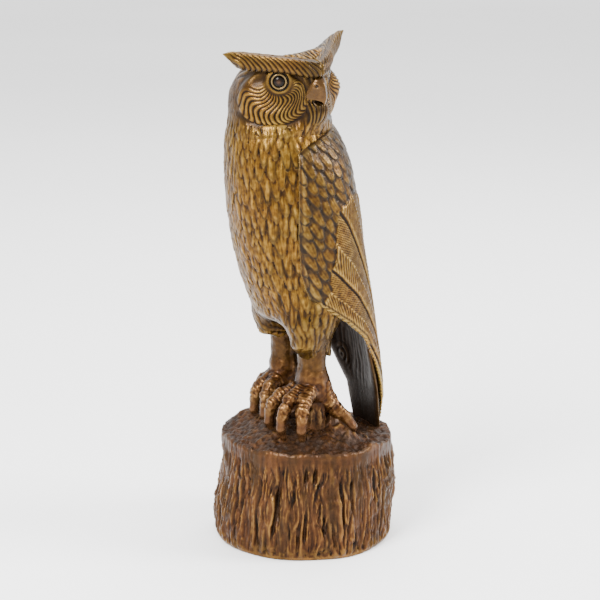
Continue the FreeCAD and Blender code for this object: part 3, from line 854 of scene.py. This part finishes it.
def to_row(points):
    """Turns points from the head's own frame onto the neck. The tilt fades out towards the neck."""
    forward, aside, up = points.T
    tilt = HEAD_TILT * ramp(up, 228.0, 250.0)
    rise = up - EYE_Z
    leaned = aside * np.cos(tilt) - rise * np.sin(tilt)
    height = EYE_Z + aside * np.sin(tilt) + rise * np.cos(tilt)
    x = HEAD_X + forward * math.cos(HEAD_YAW) - leaned * math.sin(HEAD_YAW)
    y = HEAD_Y + forward * math.sin(HEAD_YAW) + leaned * math.cos(HEAD_YAW)
    return np.stack([x, y, height], axis=1)


def face_place(forward, aside, up):
    """Place on the near facial disc: outwards, upwards and off its surface, from the eye's middle."""
    ahead = forward - EYE_FORWARD
    out = np.abs(aside) - EYE_ASIDE
    return (out - ahead) * DIAGONAL, up - EYE_Z, (out + ahead) * DIAGONAL


def disc_reach(outward, upward):
    """1 on the rim of a facial disc, less inside it."""
    return np.hypot((outward - DISC_MIDDLE[0]) / DISC_REACH[0], (upward - DISC_MIDDLE[1]) / DISC_REACH[1])


def ball_field(x, y, z, middle, radii):
    reach = np.sqrt(sum(((p - m) / r) ** 2 for p, m, r in zip((x, y, z), middle, radii)))
    return (reach - 1) * min(radii)


def crown_height(forward, aside):
    """Height of the top of the head, which dips over the beak and slopes down to the back."""
    out = np.abs(aside)
    dip = 0.45 * np.maximum(forward - 25.0, 0) * ramp(out, 14.0, 2.0)
    lift = 0.05 * out + 0.012 * np.maximum(out - 16.0, 0) ** 2 * ramp(forward, -14.0, 8.0)
    return 275.6 + lift - dip - 0.27 * np.maximum(22.0 - forward, 0) + brow_sway(aside)


def head_field(x, y, z):
    skull = oval_field(y, x, z, HEAD_LEVELS)
    skull = smooth_max(skull, (z - crown_height(x, y)) * 0.96, 2.5)
    outward, upward, toward = face_place(x, y, z)
    throat = 7.0 * (1 - ramp(z, 225.0, 243.0))
    skull = smooth_max(skull, toward + 0.8 - throat, 3.0)
    reach = disc_reach(outward, upward)
    dish = 0.9 - 1.6 * bell(outward, 1.0, 11.0) * bell(upward, -8.0, 8.0)
    flare = bell(outward, 11.5, 5.5) * bell(upward, -11.0, 7.5)
    dish = dish - 0.021 * np.maximum(outward - 7.0, 0) ** 2 - 0.5 * ramp(reach, 0.88, 1.0)
    dish = dish + np.where(y > 0, 5.2, 1.2) * flare
    disc = smooth_max(toward - dish, (reach - 1) * 14, 2.6)
    disc = np.maximum(disc, -toward - 14)
    head = smooth_min(skull, disc, 1.0)
    hollow = ball_field(outward, upward, toward, (13.5, 3.0, 1.0), (8.5, 5.0, 2.6))
    head = smooth_max(head, -hollow, 1.5)
    lid = ball_field(outward, upward, toward, (0, 0, 0.1), (6.7, 6.7, 1.1))
    head = smooth_min(head, lid, 0.8)
    socket = ball_field(outward, upward, toward, (0, 0, 1.8), (5.9, 5.9, 3.0))
    head = smooth_max(head, -socket, 0.6)
    lore = rod_field(x, np.abs(y), z, (37.5, 4.0, 265.5), (32.0, 9.2, 254.0), 1.9, 1.9)
    head = smooth_max(head, -lore, 1.6)
    mouth = ball_field(x, y, z, (36.0, 0, 250.4), (6.5, 7.5, 2.2))
    head = smooth_max(head, -mouth, 1.0)
    chin = ball_field(x, y, z, (29.4, 0, 244.6), (5.4, 6.0, 6.4))
    return smooth_min(head, chin, 3.0)


def disc_rays(points, outward, upward):
    """Wavy ridges that swirl out from the eye, 0 to 1."""
    away = np.hypot(outward, upward)
    turn = np.arctan2(upward, outward)
    swing = 0.13 + 0.22 * ramp(np.degrees(-turn), 75.0, 130.0)
    swirl = swing * np.cos(2 * math.pi * (away - 10.0) / 17.0) + 0.035 * noise(points, 5.0, 3)
    return stripes(39 * (turn + swirl) / (2 * math.pi) + 0.3, 0.62)


def head_coat(points, toward):
    """Carved depth, darkness and tone of the head off its discs.

    Small feathers cover it, with lines over the crown, and the breast's flames run on up the neck."""
    x, y, z = points.T
    u = 0.54 * np.degrees(np.arctan2(y, x)) + 1.6 * noise(points, 8.0, 2)
    v = -z + 1.8 * noise(points, 7.0, 3)
    height, across, along, _, number = shingles(u, v, 4.6, 6.5, 12.5, 1.7, 21, 1.2, 0.6)
    small = (0.8 * height + 0.25 * stripes(across * 1.5 + 0.5)) * (0.65 + 0.15 * ramp(toward, -9.0, -3.0))
    top = ramp(z, *CROWN_FADE)
    lines = stripes(y / 2.6 + 0.05 * (x - 10) + 0.3 * noise(points, (12, 4, 12), 6))
    depth = small * (1 - top) + 0.85 * lines * top - 0.2
    neck = ramp(z, *NECK_FADE)
    flame, flame_shade, flame_tone = breast_feathers(to_row(points))
    depth = depth * (1 - neck) + (flame - 0.6) * neck
    shade = 0.5 * ramp(along, 0.7, 0.95) * (1 - top) * (1 - neck) + flame_shade * neck
    return depth, shade, number * (1 - neck) + flame_tone * neck


def face_shade(x, y, z):
    """Painted shade under the disc, under the brow and on the crown; darkness round the eye, in the mouth and
    beside the beak.
    """
    outward, upward, toward = face_place(x, y, z)
    reach = disc_reach(outward, upward)
    away = np.hypot(outward, upward)
    in_front = ramp(toward, -9.0, -6.0)
    on_disc = ramp(reach, 1.03, 0.96) * in_front
    low = ramp(upward, -13.0, -18.0) * in_front
    mouth = ramp(np.hypot(x - 36.0, 1.2 * y), 9.0, 4.0) * ramp(np.abs(z - 248.5), 6.0, 2.5)
    under_brow = ramp(upward + 0.12 * outward, -4.0, 0.5) * ramp(away, 7.0, 9.0) * in_front * (z < 273)
    lore = ramp(np.hypot(x - 35.0, np.abs(y) - 6.0), 8.0, 3.5) * ramp(z, 249.0, 256.0) * ramp(z, 271.0, 266.0)
    darks = (
        0.6 * bell(away, 7.2, 1.0) * in_front,
        # painted shade in the crease under the disc's lower rim and on the ledge just below the disc
        0.9 * bell(reach, 1.06, 0.045) * low * ramp(outward, -6.0, 0.0),
        0.75 * ramp(reach, 1.34, 1.12) * low * (1 - on_disc),
        0.85 * mouth,
        # painted shade under the brow
        0.6 * under_brow,
        0.8 * lore,
        # darker on the disc towards the beak, and painted shade on the crown against the top light's glare
        0.45 * ramp(outward, 1.0, -8.0) * on_disc + 0.35 * ramp(z, *CROWN_FADE) * (1 - in_front),
    )
    return np.maximum.reduce(darks)


def carve_head():
    block = Carving((-33, -36, 221), (41, 36, 280), 0.46, head_field)
    block.relax(2)
    x, y, z = block.points.T
    outward, upward, toward = face_place(x, y, z)
    reach = disc_reach(outward, upward)
    away = np.hypot(outward, upward)
    in_front = ramp(toward, -9.0, -6.0)
    on_disc = ramp(reach, 1.03, 0.96) * in_front
    beard = ramp(np.hypot(x - 33.0, y), 9.5, 7.0) * ramp(z, 237.0, 241.0)
    off_disc = (1 - ramp(reach, 1.26, 1.08) * in_front) * ramp(away, 8.0, 10.0) * (1 - beard)
    ridged = on_disc * ramp(away, 6.8, 8.8) * ramp(upward + 0.12 * outward, 1.0, -3.5)
    rays = disc_rays(block.points, outward, upward)
    coat, coat_shade, tone = head_coat(block.points, toward)
    bristle = stripes((y + 0.10 * (250.0 - z) * np.sign(y)) / 1.9 + 0.5 * noise(block.points, (3, 3, 9), 9))
    block.push(0.95 * ridged * (rays - 0.45) + off_disc * coat + 0.7 * beard * (bristle - 0.5))
    block.find_relief()
    disc_rim = bell(reach, 1.05, 0.06) * in_front * ramp(upward, -20.0, -12.0)
    relief = block.marks["relief"] + 0.10 * ramp(z, *NECK_FADE) * (1 - beard)
    block.marks["relief"] = np.maximum(relief, 0.45 * disc_rim)
    beard_shade = 1.1 * beard * ramp(z, 253.0, 250.0) * (1 - 0.45 * bristle)
    shade = np.maximum.reduce([face_shade(x, y, z), coat_shade * off_disc, beard_shade])
    block.marks["shade"] = np.clip(shade, 0, 1)
    block.marks["tone"] = tone * (1 - on_disc) + 0.6 * on_disc
    block.points = to_row(block.points)
    return block


def brow_out(aside):
    """Distance from the face's middle to the brow's own, which both lean a little to the owl's left."""
    return np.abs(aside) - 2.7 * ramp(np.abs(aside), 16.0, 40.0) * np.sign(aside)


def brow_place(forward, aside):
    """Run along the brow, distance off its middle line in plan, and its section there."""
    out = brow_out(aside)
    best = None
    for near, far in zip(BROW, BROW[1:]):
        step = far[:2] - near[:2]
        t = np.clip(((forward - near[0]) * step[0] + (out - near[1]) * step[1]) / (step @ step), 0, 1)
        off_f = forward - near[0] - step[0] * t
        off_s = out - near[1] - step[1] * t
        gap = np.hypot(off_f, off_s)
        facing = (off_f * step[1] - off_s * step[0]) / math.sqrt(step @ step)
        row = [gap, facing] + [near[i] + (far[i] - near[i]) * t for i in (2, 3, 4)]
        if best is None:
            best = row
        else:
            closer = gap < best[0]
            best = [np.where(closer, new, old) for new, old in zip(row, best)]
    return best


def brow_sway(aside):
    """The tuft on the owl's left sits a little lower on the head than the one on its right."""
    return -1.8 * ramp(np.asarray(aside), 5.0, 28.0) + 0.3 * ramp(-np.asarray(aside), 5.0, 20.0)


def brow_field(side):
    def field(x, y, z):
        gap, facing, middle, half, thick = brow_place(x, y)
        rise = z - middle - brow_sway(y) - 0.10 * (facing + thick) * (facing < 0)
        reach = (np.abs(gap / thick) ** 2.6 + np.abs(rise / half) ** 2.6) ** (1 / 2.6)
        ridge = (reach - 1) * np.minimum(thick, half)
        saddle = rod_field(x, y, z - brow_sway(y), (16, side * 14, 271), (8.5, side * 31, 275.5), 4.2, 3.0)
        return np.maximum(smooth_min(ridge, saddle, 2.0), 0.05 - y * side)

    return field


def carve_brow(side):
    block = Carving((-1, min(0, 47 * side), 260), (42, max(0, 47 * side), 284), 0.4, brow_field(side))
    block.relax(1)
    x, y, z = block.points.T
    _, facing, middle, half, _ = brow_place(x, y)
    lower = middle + half + brow_sway(y) - z
    out = brow_out(y)
    run = np.interp(out, BROW[:, 1], np.append(0, np.hypot(*np.diff(BROW[:, :2], axis=0).T).cumsum()))
    front = ramp(facing, 0.0, 1.2)
    curl = 0.25 * np.sin(lower / 2.6)
    cuts = stripes((run + lower) / 3.1 + curl + 0.22 * noise(block.points, 6.0, 3), 0.5)
    fade = ramp(out, 41.5, 36.0) * ramp(out, 0.3, 1.5)
    hairs = stripes(lower / 1.9 + 0.12 * run + facing / 2.3 + 0.35 * noise(block.points, 7.0, 8), 0.8)
    depth = (0.75 * cuts - 0.45) * front * ramp(lower, 0.1, 1.1) + (0.5 * hairs - 0.25) * (1 - front)
    block.push(depth * fade)
    block.find_relief()
    beneath = ramp(half * 2 - lower, 3.0, 0.0)
    block.marks["shade"] = 0.32 + 0.45 * front * np.maximum(beneath, ramp(out, 14.0, 4.0))
    block.marks["tone"] = 0.3 + 0.4 * hashed(np.floor(run / 3.1), 4.0, 2)
    block.points = to_row(block.points)
    return block


def beak_field(x, y, z):
    hood = ball_field(x, y, z, (31.0, 0, 256.6), (7.6, 8.0, 8.2))
    hood = smooth_max(hood, np.abs(y) * 0.87 + (z - 264.0) * 0.5 - 2.4, 1.2)
    hook_stops = [((35.0, 0, 257.5), 3.0), ((36.9, 0, 253.5), 2.2), ((36.2, 0, 249.8), 0.7)]
    beak = smooth_min(hood, chain_field(x, y, z, hook_stops, 1.0), 2.2)
    beak = smooth_max(beak, (x - 31.0) * 0.70 + np.abs(y) * 0.71 - 5.4, 1.2)
    under = ball_field(x, y, z, (30.6, 0, 249.4), (5.6, 9.0, 4.0))
    return smooth_max(beak, -under, 0.6)


def carve_beak():
    block = Carving((23, -9, 246), (42, 9, 268), 0.25, beak_field)
    block.relax(2)
    x, y, z = block.points.T
    nostril_y, nostril_z = 3.2, 259.4
    nostril = bell(np.abs(y), nostril_y, 0.5) * bell(z, nostril_z, 0.8)
    rim = bell(np.hypot(np.abs(y) - nostril_y, z - nostril_z), 1.1, 0.5)
    block.push((0.2 * rim - 0.6 * nostril) * ramp(x, 32.0, 34.0))
    block.find_relief(10, 0.3)
    block.marks["shade"] = np.clip(0.9 * nostril + 0.3 * ramp(z, 260.0, 265.0), 0, 1)
    block.marks["tone"] = np.clip(0.5 + 0.5 * noise(block.points, 5.0, 2), 0, 1)
    block.points = to_row(block.points)
    return block


# Profiles of an eye's ring and bead: radius, height over the eye's seat
EYE_RIM = ((5.6, -2.5), (5.7, -0.4), (5.3, 0.55), (4.8, 0.7), (4.4, 0.1), (4.3, -2.5))
EYE_BEAD = (
    (4.3, -2.5), (4.3, 0.3), (4.2, 0.8), (4.0, 1.05), (3.65, 1.1), (3.3, 0.9), (3.15, 0.55),
    (3.0, 0.6), (2.85, 0.9), (2.5, 1.25), (2.0, 1.55), (1.3, 1.82), (0.6, 1.93), (0.01, 1.95),
)


def turned_disc(name, side, profile, material, turns=64):
    """A turned piece round an eye's axis. Its profile is (radius, height over the eye's seat) points."""
    look = np.array([DIAGONAL, side * DIAGONAL, 0.0])
    aside = np.array([-DIAGONAL * side, DIAGONAL, 0.0])
    up = np.array([0.0, 0.0, 1.0])
    middle = np.array([EYE_FORWARD, side * EYE_ASIDE, EYE_Z])
    rows = []
    for radius, height in profile:
        for i in range(turns):
            t = 2 * math.pi * i / turns
            spoke = math.cos(t) * aside + math.sin(t) * up
            rows.append(middle + look * height + spoke * radius)
    count = len(profile)
    quads = []
    for j in range(count - 1):
        for i in range(turns):
            k = (i + 1) % turns
            quads.append((j * turns + i, j * turns + k, (j + 1) * turns + k, (j + 1) * turns + i))
    marks = {"ring": np.repeat([r for r, _ in profile], turns)}
    return add_mesh(name, to_row(np.array(rows)), quads, marks, material)


# Materials


class Nodes:
    """Builds one node material."""

    def __init__(self, name):
        self.material = bpy.data.materials.new(name)
        self.material.use_nodes = True
        self.tree = self.material.node_tree
        self.shader = self.tree.nodes["Principled BSDF"]
        self.place = self.add("ShaderNodeTexCoord").outputs["Object"]

    def add(self, kind, **inputs):
        node = self.tree.nodes.new(kind)
        for key, value in inputs.items():
            self.set(node, key, value)
        return node

    def set(self, node, key, value):
        """Sets an input, by name or number, from a plain value or another node's output."""
        socket = node.inputs[key]
        if isinstance(value, bpy.types.NodeSocket):
            self.tree.links.new(value, socket)
        else:
            socket.default_value = (*value, 1.0) if socket.type == "RGBA" else value

    def mark(self, name):
        node = self.add("ShaderNodeAttribute")
        node.attribute_name = name
        return node.outputs["Fac"]

    def math(self, operation, a, b=0.0, clamp=False):
        node = self.add("ShaderNodeMath")
        node.operation = operation
        node.use_clamp = clamp
        self.set(node, 0, a)
        self.set(node, 1, b)
        return node.outputs[0]

    def noise(self, size_mm, detail=4.0, stretch=None):
        place = self.place
        if stretch:
            place = self.add("ShaderNodeMapping", Vector=place, Scale=stretch).outputs[0]
        node = self.add("ShaderNodeTexNoise", Vector=place, Scale=1000.0 / size_mm, Detail=detail)
        return node.outputs["Fac"]

    def ramp(self, factor, stops):
        node = self.add("ShaderNodeValToRGB", Fac=factor)
        band = node.color_ramp
        while len(band.elements) < len(stops):
            band.elements.new(0.5)
        for element, (at, colour) in zip(band.elements, stops):
            element.position = at
            element.color = (*colour, 1.0) if len(colour) == 3 else (colour[0],) * 3 + (1.0,)
        return node.outputs["Color"]

    def mix(self, factor, a, b, blend="MIX"):
        node = self.add("ShaderNodeMix")
        node.data_type = "RGBA"
        node.blend_type = blend
        # the node's own numbers for its factor and two colours in, and its colour out
        for key, value in ((0, factor), (6, a), (7, b)):
            self.set(node, key, value)
        return node.outputs[2]

    def bump(self, height, depth_mm):
        node = self.add("ShaderNodeBump", Height=height, Strength=1.0, Distance=depth_mm * MM)
        return node.outputs[0]

    def finish(self, inputs):
        """Sets the shader's inputs, each from a plain value or another node's output."""
        for key, value in inputs.items():
            self.set(self.shader, key, value)
        return self.material


# Casting pits: spacing in millimetres and colour. Then each casting's patina, from its cuts to its ridges
PIT_SPACING = 3.4
PIT_COLOUR = (0.022, 0.013, 0.008)
FEATHERS = ((0.010, 0.005, 0.002), (0.064, 0.028, 0.004), (0.225, 0.112, 0.012), (0.56, 0.34, 0.075))
FACE = ((0.010, 0.005, 0.002), (0.056, 0.025, 0.004), (0.175, 0.087, 0.010), (0.40, 0.24, 0.050))
WING = ((0.012, 0.006, 0.003), (0.074, 0.034, 0.006), (0.215, 0.114, 0.017), (0.50, 0.33, 0.095))
TAIL = ((0.006, 0.004, 0.002), (0.030, 0.015, 0.006), (0.072, 0.036, 0.013), (0.20, 0.12, 0.05))
LEGS = ((0.010, 0.005, 0.002), (0.065, 0.024, 0.006), (0.150, 0.065, 0.017), (0.38, 0.21, 0.08))
BARK = ((0.010, 0.004, 0.002), (0.055, 0.020, 0.006), (0.125, 0.052, 0.015), (0.38, 0.20, 0.055))
BEAK = ((0.020, 0.009, 0.003), (0.088, 0.042, 0.010), (0.150, 0.075, 0.016), (0.34, 0.20, 0.06))
RINGS = ((0.010, 0.007, 0.005), (0.022, 0.015, 0.010), (0.045, 0.030, 0.018), (0.12, 0.08, 0.04))


def bronze(name, colours, shade, rough=(0.30, 0.50), metal=0.75, coat=0.05, shine=0.13, pits=1.0,
           stops=(0.10, 0.40, 0.62, 0.95), grain=None, extra=None):
    """Patinated cast bronze: dark in the cuts, rubbed bright on the ridges, waxed, with casting pits.

    The colours run from the cuts to the ridges, at the stops. extra adds the piece's own colour marks."""
    n = Nodes(name)
    cloud = n.noise(17.0, 5.0)
    grime = n.noise(3.2, 6.0)
    relief = n.math("ADD", n.mark("relief"), n.math("MULTIPLY", n.math("SUBTRACT", grime, 0.5), 0.55))
    colour = n.ramp(relief, tuple(zip(stops, colours)))
    warm = n.ramp(cloud, ((0.35, (1.0, 1.0, 1.0)), (0.68, (0.98, 0.80, 0.66))))
    colour = n.mix(0.8, colour, warm, "MULTIPLY")
    # the shade mark darkens towards the shade colour: dark patina marks, and on some pieces painted shade
    shaded = n.math("MULTIPLY", n.mark("shade"), n.math("ADD", grime, 0.42), clamp=True)
    colour = n.mix(shaded, colour, shade)
    if extra:
        colour = extra(n, colour, grime)
    spots = n.add("ShaderNodeTexVoronoi", Vector=n.place, Scale=1000.0 / PIT_SPACING, Randomness=1.0)
    pit_size = n.math("MULTIPLY", n.math("SUBTRACT", cloud, 0.42), 0.62)
    pit = n.math("LESS_THAN", spots.outputs["Distance"], pit_size)
    pit = n.math("MULTIPLY", pit, pits)
    colour = n.mix(n.math("MULTIPLY", pit, 0.85), colour, PIT_COLOUR)
    tone = n.ramp(n.mark("tone"), ((0.0, (0.34, 0.33, 0.30)), (1.0, (0.47, 0.47, 0.45))))
    gloss = n.math("ADD", relief, n.math("MULTIPLY", n.math("SUBTRACT", cloud, 0.5), 0.6))
    fine = n.math("ADD", n.math("MULTIPLY", grime, 0.7), n.math("MULTIPLY", n.noise(0.9, 3.0, grain), 0.3))
    height = n.math("SUBTRACT", fine, n.math("MULTIPLY", pit, 1.2))
    return n.finish({
        "Base Color": n.mix(1.0, colour, tone, "MULTIPLY"),
        "Metallic": metal,
        "Roughness": n.ramp(gloss, ((0.1, (rough[1],)), (0.9, (rough[0],)))),
        "Specular IOR Level": shine,
        "Coat Weight": coat,
        "Coat Roughness": 0.16,
        "Normal": n.bump(height, 0.35),
    })


def feather_bronze():
    return bronze("feather_bronze", FEATHERS, (0.020, 0.010, 0.004), stops=(0.08, 0.33, 0.54, 0.90))


def head_bronze():
    return bronze("head_bronze", FACE, (0.018, 0.009, 0.004), rough=(0.28, 0.48), coat=0.06)


def wing_bronze():
    return bronze("wing_bronze", WING, (0.030, 0.019, 0.012), shine=0.18, pits=0.6)


def tail_bronze():
    return bronze("tail_bronze", TAIL, (0.010, 0.006, 0.004), rough=(0.42, 0.60), metal=0.45, coat=0.0,
                  shine=0.10, pits=0.3)


def leg_bronze():
    def claws(n, colour, grime):
        horn = n.ramp(grime, ((0.3, (0.095, 0.036, 0.014)), (0.8, (0.19, 0.080, 0.032))))
        colour = n.mix(n.math("MULTIPLY", n.mark("claw"), 0.8), colour, horn)
        gold = n.ramp(grime, ((0.3, (0.055, 0.025, 0.006)), (0.75, (0.110, 0.056, 0.012))))
        return n.mix(n.math("MULTIPLY", n.mark("shin"), 0.7), colour, gold)

    return bronze("leg_bronze", LEGS, (0.010, 0.005, 0.003), rough=(0.32, 0.52), coat=0.06, pits=0.3,
                  extra=claws)


def bark_bronze():
    def wood(n, colour, grime):
        streak = n.noise(2.6, 4.0, (1.0, 1.0, 0.18))
        colour = n.mix(n.ramp(streak, ((0.42, (0.0,)), (0.70, (0.55,)))), colour, (0.20, 0.078, 0.027))
        moss = n.noise(11.0, 4.0, (1.0, 1.0, 0.35))
        colour = n.mix(n.ramp(moss, ((0.46, (0.0,)), (0.64, (0.7,)))), colour, (0.050, 0.026, 0.010))
        ash = n.math("MULTIPLY", n.mark("top"), n.ramp(n.noise(6.0, 5.0), ((0.38, (0.15,)), (0.62, (0.85,)))))
        colour = n.mix(ash, colour, (0.056, 0.034, 0.025))
        rub = n.math("MULTIPLY", n.mark("low"), n.ramp(grime, ((0.45, (0.0,)), (0.60, (0.8,)))))
        return n.mix(rub, colour, (0.26, 0.13, 0.03))

    return bronze("bark_bronze", BARK, (0.008, 0.004, 0.002), rough=(0.32, 0.56), metal=0.6, coat=0.04,
                  shine=0.12, pits=0.4, stops=(0.12, 0.38, 0.64, 0.92), grain=(1.0, 1.0, 0.18), extra=wood)


def beak_bronze():
    return bronze("beak_bronze", BEAK, (0.012, 0.006, 0.004), rough=(0.22, 0.34), coat=0.2, pits=0.15)


def ring_bronze():
    return bronze("ring_bronze", RINGS, (0.010, 0.007, 0.005), pits=0.0)


def eye_glass():
    n = Nodes("eye_glass")
    eye_radius = 5.0
    # colours from the pupil's middle out to the iris
    stops = (
        (0.0, (0.046, 0.022, 0.010)),
        (0.30, (0.010, 0.005, 0.003)),
        (0.46, (0.003, 0.002, 0.001)),
        (0.58, (0.002, 0.001, 0.001)),
        (0.63, (0.003, 0.002, 0.001)),
        (0.67, (0.10, 0.063, 0.02)),
        (0.82, (0.15, 0.10, 0.04)),
    )
    iris = n.ramp(n.math("DIVIDE", n.mark("ring"), eye_radius), stops)
    speck = n.noise(0.6, 3.0)
    flecks = n.ramp(speck, ((0.35, (0.55, 0.5, 0.45)), (0.65, (1.0, 1.0, 1.0))))
    return n.finish({
        "Base Color": n.mix(0.5, iris, flecks, "MULTIPLY"),
        "Metallic": 0.5,
        "Roughness": n.ramp(speck, ((0.3, (0.12,)), (0.7, (0.22,)))),
        "Specular IOR Level": 0.08,
        "Coat Weight": 0.12,
        "Coat Roughness": 0.04,
    })


def plain_metal(name, colour, metallic, low_rough, high_rough, scratch):
    """Machined or plated metal with fine scratches along scratch, a stretch per axis."""
    n = Nodes(name)
    wear = n.noise(1.6, 5.0, scratch)
    dirt = n.ramp(n.noise(9.0, 3.0), ((0.4, (0.0,)), (0.8, (0.6,))))
    return n.finish({
        "Base Color": n.mix(dirt, colour, tuple(c * 0.45 for c in colour)),
        "Metallic": metallic,
        "Roughness": n.ramp(wear, ((0.3, (low_rough,)), (0.7, (high_rough,)))),
        "Normal": n.bump(wear, 0.05),
    })


def board_wood():
    n = Nodes("board")
    grain = n.noise(5.0, 6.0, (0.12, 1.0, 1.0))
    stops = ((0.30, (0.30, 0.20, 0.11)), (0.50, (0.46, 0.33, 0.19)), (0.75, (0.58, 0.44, 0.27)))
    return n.finish({
        "Base Color": n.ramp(grain, stops),
        "Roughness": n.ramp(grain, ((0.3, (0.62,)), (0.7, (0.8,)))),
        "Normal": n.bump(grain, 0.15),
    })


def felt_cloth():
    n = Nodes("felt")
    fuzz = n.noise(0.7, 6.0)
    blotch = n.math("ADD", n.math("MULTIPLY", fuzz, 0.7), n.math("MULTIPLY", n.noise(7.0, 3.0), 0.3))
    return n.finish({
        "Base Color": n.ramp(blotch, ((0.3, (0.012, 0.009, 0.007)), (0.7, (0.045, 0.034, 0.026)))),
        "Roughness": n.ramp(fuzz, ((0.3, (0.85,)), (0.7, (1.0,)))),
        "Sheen Weight": 0.5,
        "Sheen Roughness": 0.5,
        "Normal": n.bump(fuzz, 0.4),
    })


# The whole object


def show_carving(name, block, material, slot, *nodes):
    piece = add_mesh(name, block.points, block.quads, block.marks, material)
    place(piece, slot, *nodes)
    print(f"{name}: {len(block.quads)} quads")


def build():
    feather = feather_bronze()
    wing = wing_bronze()
    leg = leg_bronze()
    ring = ring_bronze()
    glass = eye_glass()
    face = head_bronze()
    show_carving("bark_stump", carve_stump(), bark_bronze(), "bark_bronze", "stump_base")
    show_carving("feathered_body", carve_body(), feather, "feather_bronze", "body_shell")
    show_carving("tail_feathers", carve_tail(), tail_bronze(), "tail_bronze", "tail")
    show_carving("owl_head", carve_head(), face, "feather_bronze", "head_shell")
    show_carving("hooked_beak", carve_beak(), beak_bronze(), "beak_bronze", "beak")
    for name, side in (("left", 1), ("right", -1)):
        show_carving(f"{name}_folded_wing", carve_wing(side), wing, "wing_bronze", f"{name}_wing")
        show_carving(f"{name}_foot_and_leg", carve_leg(side), leg, "leg_bronze", f"{name}_leg")
        show_carving(f"{name}_brow_and_tuft", carve_brow(side), face, "feather_bronze", f"{name}_brow_tuft")
        place(turned_disc(f"{name}_eye_rim", side, EYE_RIM, ring), "ring_bronze", f"{name}_eye_ring")
        place(turned_disc(f"{name}_bead_eye", side, EYE_BEAD, glass), "eye_glass", f"{name}_eye")


def finish_cad_nodes():
    """The hidden pieces keep their CAD shapes and get real finishes."""
    steel = plain_metal("fastener_steel", (0.56, 0.56, 0.57), 1.0, 0.24, 0.42, (1.0, 1.0, 6.0))
    brass = plain_metal("stud_brass", (0.70, 0.50, 0.20), 1.0, 0.25, 0.45, (1.0, 1.0, 6.0))
    pin = plain_metal("pin_bronze", (0.45, 0.28, 0.12), 0.9, 0.35, 0.55, (1.0, 1.0, 1.0))
    finishes = {
        "felt_pad": felt_cloth(),
        "base_board": board_wood(),
        "board_screws": steel,
        "foot_washers": steel,
        "foot_nuts": steel,
        "wing_screws": steel,
        "tail_screws": steel,
        "foot_studs": brass,
        "leg_pins": pin,
        "neck_pins": pin,
    }
    for node, material in finishes.items():
        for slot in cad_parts[node].material_slots:
            slot.material = material


# Floor, light and camera. The camera's place is in metres and its aim is (to the right, up)

CAMERA_AZIMUTH = math.radians(60.0)
CAMERA_ELEVATION = math.radians(13.0)
CAMERA_DISTANCE = 1.008
CAMERA_AIM = (-0.0028, 0.1355)
CAMERA_LENS, CAMERA_SENSOR = 108.0, 36.0


def make_floor():
    mesh = bpy.data.meshes.new("floor")
    reach = 6.0
    corners = [(-reach, -reach, 0), (reach, -reach, 0), (reach, reach, 0), (-reach, reach, 0)]
    mesh.from_pydata(corners, [], [(0, 1, 2, 3)])
    n = Nodes("floor")
    pale = n.ramp(n.noise(900.0, 2.0), ((0.3, (0.86,)), (0.7, (0.90,))))
    mesh.materials.append(n.finish({"Base Color": pale, "Roughness": 0.9}))
    floor = bpy.data.objects.new("floor", mesh)
    bpy.context.scene.collection.objects.link(floor)


def camera_axes():
    right = Vector((math.cos(CAMERA_AZIMUTH), math.sin(CAMERA_AZIMUTH), 0))
    level = Vector((math.sin(CAMERA_AZIMUTH), -math.cos(CAMERA_AZIMUTH), 0))
    back = level * math.cos(CAMERA_ELEVATION) + Vector((0, 0, math.sin(CAMERA_ELEVATION)))
    return right, level, back


def make_light(name, direction, distance, size, power):
    """A square soft light. direction is (right, towards the camera, up) as the camera sees it."""
    right, level, _ = camera_axes()
    middle = Vector((0, 0, 0.15))
    away = (right * direction[0] + level * direction[1] + Vector((0, 0, direction[2]))).normalized()
    data = bpy.data.lights.new(name, "AREA")
    data.size = size
    data.energy = power
    light = bpy.data.objects.new(name, data)
    light.location = middle + away * distance
    light.rotation_mode = "QUATERNION"
    light.rotation_quaternion = away.to_track_quat("Z", "Y")
    bpy.context.scene.collection.objects.link(light)


def make_world():
    world = bpy.data.worlds.new("studio")
    world.use_nodes = True
    background = world.node_tree.nodes["Background"]
    background.inputs["Color"].default_value = (1, 1, 1, 1)
    background.inputs["Strength"].default_value = 2.0
    bpy.context.scene.world = world


def make_camera():
    right, _, back = camera_axes()
    target = right * CAMERA_AIM[0] + Vector((0, 0, CAMERA_AIM[1]))
    data = bpy.data.cameras.new("camera")
    data.sensor_width = CAMERA_SENSOR
    data.lens = CAMERA_LENS
    data.clip_end = 20.0
    camera = bpy.data.objects.new("camera", data)
    camera.location = target + back * CAMERA_DISTANCE
    camera.rotation_mode = "QUATERNION"
    camera.rotation_quaternion = back.to_track_quat("Z", "Y")
    bpy.context.scene.collection.objects.link(camera)
    bpy.context.scene.camera = camera


build()
finish_cad_nodes()
make_floor()
make_world()
make_light("key", (-0.7, 1.0, 0.9), 1.6, 0.7, 66)
make_light("side", (1.0, 0.1, 0.5), 1.5, 0.6, 40)
make_light("top", (0.1, -0.4, 1.0), 1.5, 1.0, 24)
make_camera()
